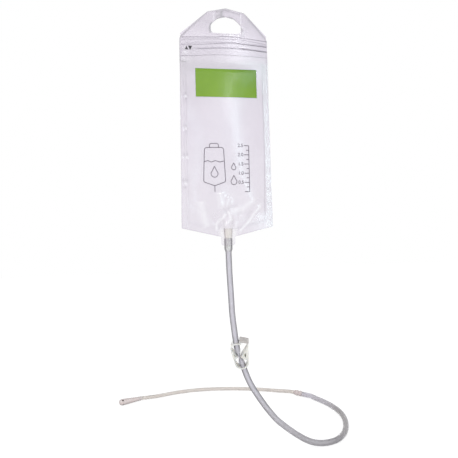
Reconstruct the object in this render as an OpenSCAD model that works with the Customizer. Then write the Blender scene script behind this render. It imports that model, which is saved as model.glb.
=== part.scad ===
// Livestock drench bag: a welded film pouch hung by its hand hole, with a press zip mouth, a bottom
// outlet, a soft hose with a ratchet pinch clamp, and a semi-rigid probe tube with a bulb tip.
// Millimetres. The origin is where a hook carries the hand hole, +Z up, the printed face towards -Y.

/* [Pouch] */
// Width across the shoulders
shoulder_w = 178; // [150:1:220]
// Width across the bottom corners
base_w = 186; // [150:1:230]
// Height from the shoulders to the bottom corners
side_h = 376; // [300:1:480]
// Depth of the shallow V below the bottom corners
vee_drop = 22; // [12:1:30]
// Thickness of one film
film_t = 0.4; // [0.25:0.05:0.8]
// Width of the welded seams
seam_w = 12; // [8:0.5:16]
// Depth of the mouth fold, where the side seams begin, below the shoulders
fold_drop = 46; // [44:1:60]
// Half gap between the films in the middle of the pouch
belly = 6.5; // [4:0.5:10]
// Height over which the films part below the mouth fold
belly_top_len = 110; // [80:5:140]
// Height over which the films part above the bottom seams
belly_foot_len = 70; // [50:5:90]
// Height over which the films close below the zip
mouth_len = 24; // [16:1:32]
// Sideways offset of the hand hole from the pouch's middle
tab_shift = 5; // [0:0.5:10]

/* [Hand hole] */
// Width of the hand hole
hole_w = 62; // [55:1:70]
// Height of the hand hole
hole_h = 33; // [30:0.5:38]
// Width of the handle's top
tab_top_w = 75; // [70:1:90]
// Height of the handle's top corners above the hook
tab_rise = 9; // [7:0.5:14]
// Extra height of the handle's middle, drawn up by the hook
tab_peak = 8; // [4:0.5:12]
// Depth of the shoulders below the hook
shoulder_drop = 45; // [41:0.5:55]
// Rounding of the shoulders
shoulder_r = 6; // [3:0.5:10]
// Rounding of the handle's top corners
tab_r = 7; // [4:0.5:10]
// Rounding of the handle's peak
peak_r = 14; // [8:0.5:18]
// Rounding of the hand hole's lower corners
hole_foot_r = 8; // [5:0.5:10]
// Rounding of the hand hole's sides
hole_side_r = 11; // [8:0.5:13]
// Rounding of the hand hole's upper corners
hole_brow_r = 18; // [12:0.5:20]
// Rounding of the place where the hook carries the hand hole
hook_r = 5; // [3:0.5:7]

/* [Zip] */
// Height of a zip tape
tape_h = 34; // [30:1:38]
// Distance from the hand hole to the zip tape
tape_drop = 8; // [6:0.5:9]
// Thickness of a zip tape
tape_t = 0.6; // [0.4:0.1:1]
// Distance between the two tracks
track_pitch = 10.5; // [8:0.5:13]
// Height of a tongue above its tape
tongue_h = 1.3; // [1:0.1:2]
// Width of a tongue
tongue_w = 1.3; // [1:0.1:2]
// Thickness of a groove's walls
groove_wall = 0.7; // [0.5:0.1:1]
// Play round a tongue in its groove
zip_play = 0.3; // [0.2:0.05:0.5]

/* [Outlet] */
// Diameter of the outlet where the films are welded to it
port_d = 16.8; // [15:0.1:20]
// Diameter of the outlet's waist above the hose
port_waist_d = 14.6; // [14:0.1:15]
// Height of the outlet above the hose
port_h = 20; // [16:1:26]
// Diameter over the barbs that the hose is pushed on
barb_d = 12.4; // [11:0.1:13]
// Length of the barbed spigot
barb_h = 20; // [16:1:24]
// Bore of the outlet
port_bore = 8; // [6:0.5:9]
// Width of the film ears beside the outlet
ear_w = 29; // [26:1:36]
// Depth of the film ears below the V
ear_drop = 14; // [10:1:18]
// Rounding of the ears' lower corners
ear_r = 5; // [3:0.5:7]
// Height over which the films leave the outlet's round
outlet_len = 70; // [50:5:90]

/* [Hose] */
// Outside diameter of the hose
hose_d = 12; // [11:0.1:13]
// Bore of the hose
hose_bore = 7.6; // [6:0.1:8]
// Thickness of the hose where the jaws squeeze it
pinch_t = 5; // [4.8:0.1:7]
// Wall of the hose where it is stretched over a barb
stretched_wall = 1.6; // [1.2:0.1:2]

/* [Clamp] */
// Width of the clamp's strip
clamp_w = 20; // [18:0.5:26]
// Thickness of the clamp's strip
clamp_t = 2.4; // [1.8:0.1:3]
// Distance from the squeezed hose to the outside of the fixed arm
arm_reach = 18.5; // [17.5:0.5:22]
// Outer radius of the spring bend
bend_r = 14; // [13:0.5:15]
// Depth of the spring bend's middle below the squeezed hose
bend_drop = 10.5; // [9:0.5:13]
// Length of the lever's straight arm
lever_len = 30; // [30:0.5:34]
// Lean of the lever's straight arm
lever_lean = 15; // [13:0.5:18]
// Outer radius of the lever's curled end
curl_r = 12.2; // [11:0.1:14]
// Length of the lever's fork past its curl
fork_len = 9.5; // [8:0.5:11]
// Height of the pawl on the fork's tip
pawl_h = 0.8; // [0.5:0.1:1.2]
// Height of the fixed jaw's foot above the squeezed hose
jaw_rise = 23; // [18:0.5:25]
// Depth of the fixed jaw's foot below the squeezed hose
jaw_drop = 6.5; // [4:0.5:9]
// Distance from the spring bend to the lever's jaw
lever_jaw_at = 12; // [9:0.5:13]
// Length of the lever's jaw along its arm
lever_jaw_h = 18; // [14:0.5:18]
// Size of a jaw's pocket as a share of the jaw
pocket_share = 0.42; // [0.3:0.01:0.5]
// Thickness of the latch plate
latch_t = 4; // [3:0.1:5]
// Length of the latch plate
latch_len = 17; // [15:0.5:17]
// Slope of the latch plate
latch_lean = 12; // [8:0.5:15]
// Height of a ratchet tooth
tooth_h = 1.1; // [0.8:0.1:1.4]
// Distance between ratchet teeth
tooth_pitch = 2.4; // [2:0.1:3]
// Radius of the flexing bead at a clamp hinge
bead_r = 0.9; // [0.6:0.05:1]

/* [Probe] */
// Outside diameter of the probe tube
tube_d = 9; // [8:0.1:10]
// Bore of the probe tube
tube_bore = 6; // [4:0.1:7]
// Diameter of the bulb tip
tip_d = 15.5; // [14:0.1:18]
// Length of the bulb tip
tip_len = 60; // [50:1:70]
// Diameter of the eyes in the bulb's nose
eye_d = 5; // [4:0.1:6]
// Diameter over the coupler's rings
coupler_d = 14; // [13:0.1:16]
// Length of the coupler between hose and tube
coupler_len = 26; // [22:1:32]
// Depth of a tube socket
socket_depth = 11; // [8:0.5:12]

/* [Fits] */
// Gap between the jaws and the squeezed hose
jaw_gap = 0.15; // [0.1:0.05:0.4]
// Room round the hose in the clamp's holes
hose_play = 1; // [0.6:0.1:1.6]
// Gap between a weld and the outlet
weld_gap = 0.05; // [0.02:0.01:0.1]
// Gap of a push fit
fit_gap = 0.05; // [0.03:0.01:0.1]
// Gap between parts that swing past each other
swing_gap = 0.3; // [0.2:0.05:0.4]

/* [Hidden] */
$fn = 48;

film_colour = [0.86, 0.84, 0.90];
zip_colour = [0.82, 0.80, 0.87];
ivory = [0.93, 0.90, 0.82];
hose_colour = [0.74, 0.71, 0.78];
clamp_colour = [0.90, 0.90, 0.86];
beige = [0.87, 0.80, 0.72];

// Heights of the pouch, from the hook down
shoulder_z = -shoulder_drop;
fold_z = shoulder_z - fold_drop;
corner_z = shoulder_z - side_h;
vee_z = corner_z - vee_drop;
ear_z = vee_z - ear_drop;
hole_z = -hole_h;
tape_z = hole_z - tape_drop;
pouch_x = -tab_shift;

// Half gap between the films at the zip: two tapes, a tongue and the play before it
zip_half = (2 * tape_t + tongue_h + zip_play) / 2;

// Where the hose starts on the outlet, and the outlet's top
hose_top_z = vee_z;
port_top_z = hose_top_z + port_h;

// The film is drawn round the outlet in flat facets of this angle
wrap_step = 18;
port_r = port_d / 2;
wrap_r = port_r / cos(wrap_step / 2) + weld_gap;

// The surface that the loose hose and the probe lie on
floor_z = -859;
hose_z = floor_z + hose_d / 2;
tube_z = floor_z + tube_d / 2;

// The squeezed place on the hose, the hose's lean there, and how the clamp tilts and turns to the viewer
pinch_at = [10, -10, -677];
hose_lean = 17;
clamp_tilt = 13;
clamp_turn = -13;
clamp_out = [sin(clamp_turn) * cos(clamp_tilt), -cos(clamp_turn) * cos(clamp_tilt), -sin(clamp_tilt)];
// Where the spring bend flexes, as an angle round the bend
lever_hinge_turn = 236;

// The coupler and the bulb tip lie on the floor, each turned about Z
coupler_at = [236, 306, floor_z + coupler_d / 2];
coupler_turn = 122;
coupler_dir = [cos(coupler_turn), sin(coupler_turn), 0];
tip_at = [-164, 373, floor_z + tip_d / 2];
tip_turn = 204;
tip_dir = [cos(tip_turn), sin(tip_turn), 0];

// Route of the hose: down from the outlet, through the clamp, and in a loop on the floor
hose_route = [
    [pouch_x, 0, hose_top_z - fit_gap], [pouch_x, 0, hose_top_z - barb_h],
    [-5, 0, -473], [-5, -2, -492], [-5, -5, -516], [-4, -9, -555], [-3, -13, -594], [0, -16, -628],
    [3, -15, -650], [6, -12, -664], pinch_at, [15, -8, -690], [20, -6, -704], [26, -5, -720],
    [33, -6, -736], [42, -9, -752], [52, -13, -768], [65, -20, -787], [81, -28, -806],
    [103, -36, -824], [122, -42, -837], [141, -46, -847], [161, -47, -852], [182, -45, hose_z],
    [204, -34, hose_z], [228, -7, hose_z], [249, 31, hose_z], [267, 80, hose_z], [277, 130, hose_z],
    [277, 182, hose_z], [271, 222, hose_z], [263, 252, hose_z],
    coupler_at - coupler_dir * (coupler_len / 2 + 2 * socket_depth + 4),
    coupler_at - coupler_dir * (coupler_len / 2 + socket_depth + 3),
    coupler_at - coupler_dir * (coupler_len / 2 + fit_gap)
];

// Route of the probe tube along the floor, from the coupler's socket to the tip's socket
tube_route = [
    coupler_at + coupler_dir * (coupler_len / 2 - socket_depth + fit_gap),
    coupler_at + coupler_dir * (coupler_len / 2 + 2),
    [214, 336, -853], [195, 352, tube_z], [173, 367, tube_z], [150, 380, tube_z], [126, 392, tube_z],
    [101, 402, tube_z], [76, 410, tube_z], [50, 416, tube_z], [24, 421, tube_z], [-3, 423, tube_z],
    [-31, 421, tube_z], [-58, 416, tube_z], [-86, 407, tube_z], [-113, 396, tube_z],
    [-140, 384, -853], tip_at - tip_dir * 2, tip_at + tip_dir * (socket_depth - fit_gap)
];

// Smooth step from 0 at a to 1 at b
function ease(a, b, v) = let (t = min(1, max(0, (v - a) / (b - a)))) t * t * (3 - 2 * t);
function unit(v) = v / norm(v);

// A polygon with each corner [x, y, radius] rounded by an arc
function rounded(corners, steps = 6) = [
    for (i = [0:len(corners) - 1])
        let (n = len(corners),
             p = [corners[i][0], corners[i][1]],
             a = unit([corners[(i + n - 1) % n][0], corners[(i + n - 1) % n][1]] - p),
             b = unit([corners[(i + 1) % n][0], corners[(i + 1) % n][1]] - p),
             half = acos(max(-1, min(1, a * b))) / 2,
             r = corners[i][2],
             c = p + unit(a + b) * r / sin(half),
             from = p + a * r / tan(half) - c,
             to = p + b * r / tan(half) - c,
             start = atan2(from[1], from[0]),
             raw = atan2(to[1], to[0]) - start,
             turn = raw > 180 ? raw - 360 : raw < -180 ? raw + 360 : raw)
        each r == 0 ? [p]
             : [for (k = [0:steps]) let (a2 = start + turn * k / steps) c + r * [cos(a2), sin(a2)]]
];

// A point on the smooth curve through p1 and p2
function curve_point(p0, p1, p2, p3, t) = 0.5 * (2 * p1 + (p2 - p0) * t
    + (2 * p0 - 5 * p1 + 4 * p2 - p3) * t * t + (3 * p1 - p0 - 3 * p2 + p3) * t * t * t);
function smooth_route(route, steps) = [
    for (i = [0:len(route) - 2]) for (k = [0:steps - 1])
        let (before = route[max(i - 1, 0)], after = route[min(i + 2, len(route) - 1)])
        curve_point(before, route[i], route[i + 1], after, k / steps),
    route[len(route) - 1]
];
function heading(path, i) = unit(path[min(i + 1, len(path) - 1)] - path[max(i - 1, 0)]);

// A hollow tube along a path: a ring is [outer half axes, inner half axes], and sides_of gives the way
// that the second half axis points
module swept_tube(path, rings, sides_of, around = 12) {
    count = len(path);
    function ring(i, axes) =
        let (t = heading(path, i), n1 = unit(cross(sides_of(path[i]), t)), n2 = cross(t, n1))
        [for (k = [0:around - 1]) let (a = 360 * k / around)
            path[i] + n1 * axes[0] * cos(a) + n2 * axes[1] * sin(a)];
    points = [for (skin = [0, 1]) for (i = [0:count - 1]) each ring(i, rings[i][skin])];
    inner = count * around;
    function side(i, k, base) = [base + i * around + k, base + i * around + (k + 1) % around,
                                 base + (i + 1) * around + (k + 1) % around, base + (i + 1) * around + k];
    walls = [for (i = [0:count - 2]) for (k = [0:around - 1])
        let (o = side(i, k, 0), n = side(i, k, inner))
        each [[o[0], o[1], o[2]], [o[0], o[2], o[3]], [n[0], n[2], n[1]], [n[0], n[3], n[2]]]];
    ends = [for (k = [0:around - 1])
        let (next = (k + 1) % around, last = (count - 1) * around)
        each [[k, inner + next, next], [k, inner + k, inner + next],
              [last + k, last + next, inner + last + next],
              [last + k, inner + last + next, inner + last + k]]];
    polyhedron(points = points, faces = concat(walls, ends));
}

// Outline of the pouch's top: the mouth panel, its shoulders and the handle, above a given height
module top_panel(from_z) {
    half_top = shoulder_w / 2;
    fold_half = pouch_half(from_z);
    difference() {
        polygon(rounded([
            [pouch_x - fold_half, from_z, 0], [pouch_x - half_top, shoulder_z, shoulder_r],
            [-tab_top_w / 2, tab_rise, tab_r], [0, tab_rise + tab_peak, peak_r],
            [tab_top_w / 2, tab_rise, tab_r], [pouch_x + half_top, shoulder_z, shoulder_r],
            [pouch_x + fold_half, from_z, 0]
        ]));
        hand_hole();
    }
}
// The D of the hand hole, with a peak where the hook carries it
module hand_hole() {
    half = hole_w / 2;
    flank = hole_h / 2;
    brow = hole_h / 9;
    polygon(rounded([[-half, hole_z, hole_foot_r], [-half, -flank, hole_side_r],
                     [-half * 0.55, -brow, hole_brow_r], [0, 0, hook_r], [half * 0.55, -brow, hole_brow_r],
                     [half, -flank, hole_side_r], [half, hole_z, hole_foot_r]]));
}
// Stands an outline up in the XZ plane, from y to y + t
module upright(y, t) {
    translate([0, y + t, 0]) rotate([90, 0, 0]) linear_extrude(t) children();
}

// Half width of the pouch at a height
function pouch_half(z) = (shoulder_w + (base_w - shoulder_w) * (shoulder_z - z) / side_h) / 2;
// Lower edge of the film at a distance from the pouch's middle: the V, and the ears round the outlet
function film_edge(x) = let (a = abs(x), ear = ear_w / 2)
    a > ear ? corner_z - vee_drop * (1 - a / pouch_half(corner_z))
            : a > ear - ear_r ? ear_z + ear_r - sqrt(max(0, ear_r * ear_r - pow(a - ear + ear_r, 2)))
            : ear_z;
// How strongly the outlet holds the films apart at a height
function port_hold(z) = 1 - ease(port_top_z, port_top_z + outlet_len, z);
// How far the films swell apart, away from their seams
function swell(x, z) =
    let (free = pouch_half(z) - seam_w,
         across = 1 - pow(min(1, abs(x) / free), 2.4),
         edge = film_edge(max(abs(x), ear_w / 2 + 0.1)),
         down = ease(fold_z, fold_z - belly_top_len, z) * ease(0, belly_foot_len, z - seam_w - edge))
    belly * across * down;
function mouth_hold(z) = zip_half * (1 - ease(fold_z, fold_z - mouth_len, z));
function round_gap(x, z, r) = abs(x) < r ? port_hold(z) * sqrt(r * r - x * x) : 0;
function inner_gap(x, z) = max(mouth_hold(z), swell(x, z), round_gap(x, z, wrap_r));
function outer_gap(x, z) =
    max(mouth_hold(z) + film_t, swell(x, z) + film_t, round_gap(x, z, wrap_r + film_t));

// Columns of the film's net: close together round the outlet, then even to the seam
wrap_columns = [for (a = [0:wrap_step:90]) wrap_r * sin(a)];
near_columns = concat(wrap_columns, [wrap_r + film_t, ear_w / 2 - 3, ear_w / 2, ear_w / 2 + 1]);
far_columns = 7;
column_count = len(near_columns) + far_columns + 2;
function half_column(i, z) =
    let (n = len(near_columns), last = near_columns[n - 1], free = pouch_half(z) - seam_w)
    i < n ? near_columns[i]
          : i < n + far_columns ? last + (free - last) * (i - n + 1) / far_columns
          : i == n + far_columns ? free + seam_w / 2 : pouch_half(z);
net_rows = 20;
function row_share(j) = 1 - pow(1 - j / net_rows, 1.5);

// The film below the mouth fold, as a net of triangles; side is 1 for the rear film, -1 for the front
module film_net(side, top_z) {
    across = 2 * column_count - 1;
    function place(i, j) =
        let (c = i - column_count + 1,
             x0 = sign(c) * half_column(abs(c), corner_z),
             z = top_z + (film_edge(x0) - top_z) * row_share(j))
        [sign(c) * half_column(abs(c), max(z, corner_z)), z];
    points = [for (skin = [0, 1]) for (j = [0:net_rows]) for (i = [0:across - 1])
        let (p = place(i, j), g = skin == 0 ? inner_gap(p[0], p[1]) : outer_gap(p[0], p[1]))
        [pouch_x + p[0], side * g, p[1]]];
    skin_size = across * (net_rows + 1);
    function at(skin, i, j) = skin * skin_size + j * across + i;
    function strip(a, b, c, d) = side > 0 ? [[a, b, c], [a, c, d]] : [[a, c, b], [a, d, c]];
    faces = concat(
        [for (j = [0:net_rows - 1]) for (i = [0:across - 2]) each concat(
            strip(at(0, i, j), at(0, i, j + 1), at(0, i + 1, j + 1), at(0, i + 1, j)),
            strip(at(1, i, j), at(1, i + 1, j), at(1, i + 1, j + 1), at(1, i, j + 1)))],
        [for (i = [0:across - 2]) each concat(
            strip(at(0, i, 0), at(0, i + 1, 0), at(1, i + 1, 0), at(1, i, 0)),
            let (j = net_rows) strip(at(0, i, j), at(1, i, j), at(1, i + 1, j), at(0, i + 1, j)))],
        [for (j = [0:net_rows - 1]) each concat(
            strip(at(0, 0, j), at(1, 0, j), at(1, 0, j + 1), at(0, 0, j + 1)),
            let (last = across - 1)
            strip(at(0, last, j), at(0, last, j + 1), at(1, last, j + 1), at(1, last, j)))]);
    polyhedron(points = points, faces = [for (f = faces) [f[0], f[2], f[1]]]);
}

// Rear film: the back of the pouch, running up through the mouth into the back of the handle
module rear_film() {
    color(film_colour) {
        upright(zip_half, film_t) top_panel(fold_z);
        film_net(1, fold_z);
    }
}

// Front film: the front of the pouch, up to the fold that the mouth opens on
module front_film() {
    color(film_colour) {
        film_net(-1, fold_z);
        translate(fold_at) rotate([0, 90, 0])
            cylinder(r = fold_r, h = 2 * pouch_half(fold_z) - 2 * film_t, center = true);
    }
}
// The line that the mouth opens on, and the bead of folded film along it
fold_at = [pouch_x, -zip_half - film_t / 2, fold_z];
fold_r = film_t * 0.75;

// Front lip: the front of the mouth and of the handle, which swings open about the fold
module front_lip() {
    color(film_colour) upright(-zip_half - film_t, film_t) top_panel(fold_z + fold_r + swing_gap);
}

// Length of the zip across the pouch
zip_len = shoulder_w - 4;
track_z = [for (k = [0, 1]) tape_z - tape_h * 0.3 - k * track_pitch];
module zip_bar(y, t, z, h) {
    translate([pouch_x - zip_len / 2, min(y, y + t), z - h]) cube([zip_len, abs(t), h]);
}

// Zip groove strip: a tape on the rear film with two channels
module zip_groove_strip() {
    floor_y = zip_half - tape_t;
    channel = tongue_w + 2 * zip_play;
    color(zip_colour) {
        zip_bar(zip_half, -tape_t, tape_z, tape_h);
        for (z = track_z) {
            zip_bar(floor_y, -tongue_h, z + channel / 2 + groove_wall, groove_wall);
            zip_bar(floor_y, -tongue_h, z - channel / 2, groove_wall);
        }
    }
}

// Zip rib strip: a tape on the front lip with two tongues
module zip_rib_strip() {
    color(zip_colour) {
        zip_bar(-zip_half, tape_t, tape_z, tape_h);
        for (z = track_z) zip_bar(tape_t - zip_half, tongue_h, z + tongue_w / 2, tongue_w);
    }
}

// Outlet welded between the films: a tapered collar, and a barbed spigot for the hose
module port_connector() {
    barb_r = barb_d / 2;
    root_r = barb_r - 0.7;
    barbs = 4;
    rise = barb_h / barbs;
    color(ivory) translate([pouch_x, 0, hose_top_z]) rotate_extrude()
        polygon(concat(
            [[port_bore / 2, -barb_h], [port_bore / 2, port_h], [port_r - 0.8, port_h],
             [port_r, port_h - 0.8], [port_r, port_h * 0.6], [port_waist_d / 2, 0]],
            [for (k = [0:barbs - 1]) let (foot = -(k + 0.9) * rise)
                each [[root_r, -k * rise], [barb_r, foot + 0.15 * rise], [barb_r, foot], [root_r, foot]]],
            [[root_r, -barb_h]]));
}

// Hose: soft tube, stretched over the outlet's barbs and squeezed flat between the clamp's jaws
hose_path = smooth_route(hose_route, 2);
squeeze_len = 15;
relax_len = 8;
function squeeze(p) = 1 - ease(0, squeeze_len, norm(p - pinch_at));
function stretch(p) = 1 - ease(barb_h, barb_h + relax_len, norm(p - hose_route[0]));
function hose_ring(p) =
    let (wall = (hose_d - hose_bore) / 2,
         snug = barb_d / 2 / cos(15) + fit_gap,
         inner = hose_bore / 2 + (snug - hose_bore / 2) * stretch(p),
         outer = hose_d / 2 + (snug + stretched_wall - hose_d / 2) * stretch(p),
         thin = outer + (pinch_t / 2 - outer) * squeeze(p),
         wide = outer + 0.7 * (outer - thin))
    [[thin, wide], [max(0.25, thin - outer + inner), wide - outer + inner]];
// Between these heights above the floor the hose's flat side turns from the clamp's to level
flat_from = 99;
flat_to = 14;
function hose_side(p) =
    let (w = ease(floor_z + flat_from, floor_z + flat_to, p[2])) unit((w - 1) * clamp_out + [0, 0, w]);
module hose() {
    color(hose_colour)
        swept_tube(hose_path, [for (p = hose_path) hose_ring(p)], function(p) hose_side(p));
}

// Places in the clamp's own plane: x to the right, y up along the arms, from the squeezed place
module in_clamp() {
    translate(pinch_at) rotate([clamp_tilt, 0, clamp_turn]) rotate([90, 0, 0]) children();
}
bend_at = [arm_reach - bend_r, -bend_drop];
bend_mid_r = bend_r - clamp_t / 2;
lever_hinge = bend_at + bend_mid_r * [cos(lever_hinge_turn), sin(lever_hinge_turn)];
lever_up = [-sin(lever_lean), cos(lever_lean)];
lever_in = [cos(lever_lean), sin(lever_lean)];
lever_foot = bend_at - bend_mid_r * lever_in;
lever_head = lever_foot + lever_up * lever_len;
curl_mid_r = curl_r - clamp_t / 2;
curl_at = lever_head + lever_in * curl_mid_r;
fork_tip = curl_at + [fork_len, curl_mid_r];
jaw_reach = pinch_t / 2 + jaw_gap;
pinch_across = [cos(hose_lean), sin(hose_lean)];
arm_mid_x = arm_reach - clamp_t / 2;
// The latch's underside passes over the fork's pawl, and comes down to the fixed arm's top
latch_under = fork_tip[1] + clamp_t / 2 + pawl_h + swing_gap + tooth_h;
latch_hinge = [arm_mid_x, latch_under - (arm_mid_x - fork_tip[0]) * tan(latch_lean)];
// Angle along the bend that a gap of the bead and the swing takes
bead_turn = (bead_r + swing_gap) / bend_mid_r * 180 / PI;
neck_t = bead_r * 1.1;
// Width of the ways that the hose runs through
hose_way = hose_d + 2 * hose_play;

// Points along an arc
function arc(at, r, from, to, steps = 16) =
    [for (k = [0:steps]) let (a = from + (to - from) * k / steps) at + r * [cos(a), sin(a)]];
// The outline of a wedge jaw from one end of its foot over its rounded edge to the other
function jaw(foot_a, foot_b, edge) =
    rounded([[foot_a[0], foot_a[1], 0], [edge[0], edge[1], 0.6], [foot_b[0], foot_b[1], 0]]);
// The three-cornered pocket in a jaw
module pocket(foot_a, foot_b, edge) {
    middle = (foot_a + foot_b + edge) / 3;
    polygon([for (p = [foot_a, foot_b, edge]) middle + (p - middle) * pocket_share]);
}
module clamp_slab() {
    translate([0, 0, -clamp_w / 2]) linear_extrude(clamp_w) children();
}
module bead(at, r, length) {
    translate([at[0], at[1], 0]) cylinder(r = r, h = length, center = true);
}
// A thin neck of strip between a bead and the strip's end
module neck(bead_at, strip_at) {
    along = unit(strip_at - bead_at);
    side = neck_t / 2 * [along[1], -along[0]];
    end = strip_at + along * 0.4;
    clamp_slab() polygon([bead_at - side, bead_at + side, end + side, end - side]);
}

// Clamp body: the fixed arm, its jaw, and the spring bend with the hose's hole
module clamp_body() {
    inner_x = arm_reach - clamp_t;
    arm_end = latch_hinge - [0, bead_r + swing_gap];
    bend_from = lever_hinge_turn + bead_turn;
    bend_end = arc(bend_at, bend_mid_r, bend_from, bend_from)[0];
    foot_a = [inner_x, jaw_rise];
    foot_b = [inner_x, -jaw_drop];
    edge = jaw_reach * pinch_across;
    color(clamp_colour) in_clamp() {
        difference() {
            clamp_slab() difference() {
                polygon(concat(arc(bend_at, bend_r, bend_from, 360),
                               [[arm_reach, arm_end[1]], [inner_x, arm_end[1]]],
                               jaw(foot_a, foot_b, edge),
                               arc(bend_at, bend_r - clamp_t, 360, bend_from)));
                pocket(foot_a, foot_b, edge);
            }
            rotate([0, 0, hose_lean]) translate([0, -bend_drop, 0]) rotate([90, 0, 0])
                cylinder(d = hose_way, h = 2 * bend_r);
        }
        neck(lever_hinge, bend_end);
        neck(latch_hinge, arm_end);
        bead(lever_hinge, bead_r, clamp_w);
        bead(latch_hinge, bead_r, clamp_w);
    }
}

// Clamp lever: the moving arm with its jaw, curled over at the top into a fork astride the hose
module clamp_lever() {
    foot_b = lever_foot + lever_up * lever_jaw_at + lever_in * clamp_t / 2;
    foot_a = foot_b + lever_up * lever_jaw_h;
    edge = -jaw_reach * pinch_across;
    turn = 180 + lever_lean;
    pawl_foot = fork_tip + [-1.8 * pawl_h, clamp_t / 2];
    pawl_top = fork_tip + [0, clamp_t / 2 + pawl_h];
    color(clamp_colour) in_clamp() difference() {
        clamp_slab() difference() {
            polygon(concat(arc(bend_at, bend_r, lever_hinge_turn, turn), arc(curl_at, curl_r, turn, 90),
                           [pawl_foot, pawl_top, fork_tip - [0, clamp_t / 2]],
                           arc(curl_at, curl_r - clamp_t, 90, turn), jaw(foot_a, foot_b, edge),
                           arc(bend_at, bend_r - clamp_t, turn, lever_hinge_turn)));
            pocket(foot_a, foot_b, edge);
        }
        bead(lever_hinge, bead_r + fit_gap, 2 * clamp_w);
        translate([curl_at[0] - curl_r * 0.65, curl_at[1], -hose_way / 2])
            cube([2 * curl_r + fork_len, 2 * curl_r, hose_way]);
    }
}

// Clamp latch: the end plate over the fork, with ratchet teeth below and grip ribs on top
module clamp_latch() {
    teeth = 3;
    ribs = 6;
    rib_h = 0.8;
    rib_pitch = (latch_len - 4) / (ribs - 1);
    under = [for (k = [0:teeth - 1])
        let (x = 0.4 + k * tooth_pitch - latch_len, peak = x + tooth_pitch * 0.85)
        each [[x, 0], [peak, -tooth_h], [peak, 0]]];
    rib = [[0.7, 0], [0.3, rib_h], [-0.3, rib_h], [-0.7, 0]];
    over = [for (k = [ribs - 1:-1:0]) let (at = [2 - latch_len + k * rib_pitch, latch_t])
        each [for (p = rib) at + p]];
    ends = [[clamp_t / 2, 0], [clamp_t / 2, latch_t]];
    color(clamp_colour) in_clamp() difference() {
        translate([latch_hinge[0], latch_hinge[1], 0]) rotate([0, 0, -latch_lean]) clamp_slab()
            polygon(concat([[-latch_len, latch_t], [-latch_len, 0]], under, ends, over));
        bead(latch_hinge, bead_r + fit_gap, 2 * clamp_w);
    }
}

// Coupler: a ringed collar with a barb in the hose and a socket for the probe tube
module coupler() {
    ring_r = coupler_d / 2;
    waist_r = ring_r - 1.1;
    barb_r = hose_bore / 2 * cos(15) - fit_gap;
    bore_r = tube_bore / 2 - 0.6;
    socket_r = tube_d / 2 + fit_gap;
    half = coupler_len / 2;
    color(beige) translate(coupler_at) rotate([0, 90, coupler_turn]) rotate_extrude()
        polygon([[bore_r, -half - socket_depth], [bore_r, half - socket_depth],
                 [socket_r, half - socket_depth], [socket_r, half], [waist_r, half],
                 [waist_r, half - 5], [ring_r, half - 6.5], [ring_r, half - 9],
                 [waist_r, half - 10.5], [waist_r, 10.5 - half], [ring_r, 9 - half],
                 [ring_r, 6.5 - half], [waist_r, 5 - half], [waist_r, -half], [barb_r - 0.4, -half],
                 [barb_r, -half - socket_depth * 0.7], [barb_r - 0.6, -half - socket_depth]]);
}

// Probe tube: semi-rigid, along the floor
tube_path = smooth_route(tube_route, 2);
module probe_tube() {
    ring = [[1, 1] * tube_d / 2, [1, 1] * tube_bore / 2];
    color(beige) swept_tube(tube_path, [for (p = tube_path) ring], function(p) [0, 0, 1]);
}

// Bulb tip: a drop with four eyes behind its nose
module probe_tip() {
    r = tip_d / 2;
    neck_r = tube_d / 2 + 0.7;
    passage_r = tube_bore / 2;
    chamber_r = eye_d * 0.85;
    nose = tip_len - r;
    color(beige) translate(tip_at) rotate([0, 90, tip_turn]) difference() {
        rotate_extrude() polygon(concat(
            [[0, 0], [neck_r, 0]],
            [for (k = [0:8]) [neck_r + (r - neck_r) * ease(0, 1, k / 8), 4 + (nose - 4) * k / 8]],
            [for (a = [12:12:84]) [r * cos(a), nose + r * sin(a)]],
            [[0, nose + r * sin(84)]]));
        translate([0, 0, -1]) cylinder(r = tube_d / 2 + fit_gap, h = socket_depth + 1);
        cylinder(r = passage_r, h = nose);
        translate([0, 0, nose - chamber_r]) cylinder(r = chamber_r, h = 2 * chamber_r);
        for (a = [45:90:315]) translate([0, 0, nose])
            rotate([0, 90, a]) translate([0, 0, eye_d * 0.58]) cylinder(d = eye_d, h = tip_d);
    }
}

rear_film();
front_film();
front_lip();
zip_groove_strip();
zip_rib_strip();
port_connector();
hose();
clamp_body();
clamp_lever();
clamp_latch();
coupler();
probe_tube();
probe_tip();
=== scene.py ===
"""Livestock drench bag: the looks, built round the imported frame.

Film, print and hose are worked out in millimetres.
"""
import math

import bpy
import numpy as np
from mathutils import Matrix, Vector


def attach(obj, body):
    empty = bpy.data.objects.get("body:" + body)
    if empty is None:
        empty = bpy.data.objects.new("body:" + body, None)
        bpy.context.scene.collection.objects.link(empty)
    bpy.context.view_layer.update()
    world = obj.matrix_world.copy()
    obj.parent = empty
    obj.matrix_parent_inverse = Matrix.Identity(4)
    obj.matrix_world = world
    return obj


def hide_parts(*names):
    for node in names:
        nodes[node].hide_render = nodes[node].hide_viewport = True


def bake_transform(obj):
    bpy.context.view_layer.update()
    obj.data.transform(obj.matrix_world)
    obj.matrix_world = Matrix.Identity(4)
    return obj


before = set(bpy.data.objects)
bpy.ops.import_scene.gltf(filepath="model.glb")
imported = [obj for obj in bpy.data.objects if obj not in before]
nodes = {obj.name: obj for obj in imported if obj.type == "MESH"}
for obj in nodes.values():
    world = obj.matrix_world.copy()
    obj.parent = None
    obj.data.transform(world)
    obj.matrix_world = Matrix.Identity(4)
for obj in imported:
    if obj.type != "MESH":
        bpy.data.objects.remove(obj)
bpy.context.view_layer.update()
scene = bpy.context.scene
scene.view_settings.view_transform = "Standard"
MM = 0.001


# Camera: in front of the bag, a little to its left, level with its outlet; its place is in metres

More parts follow.
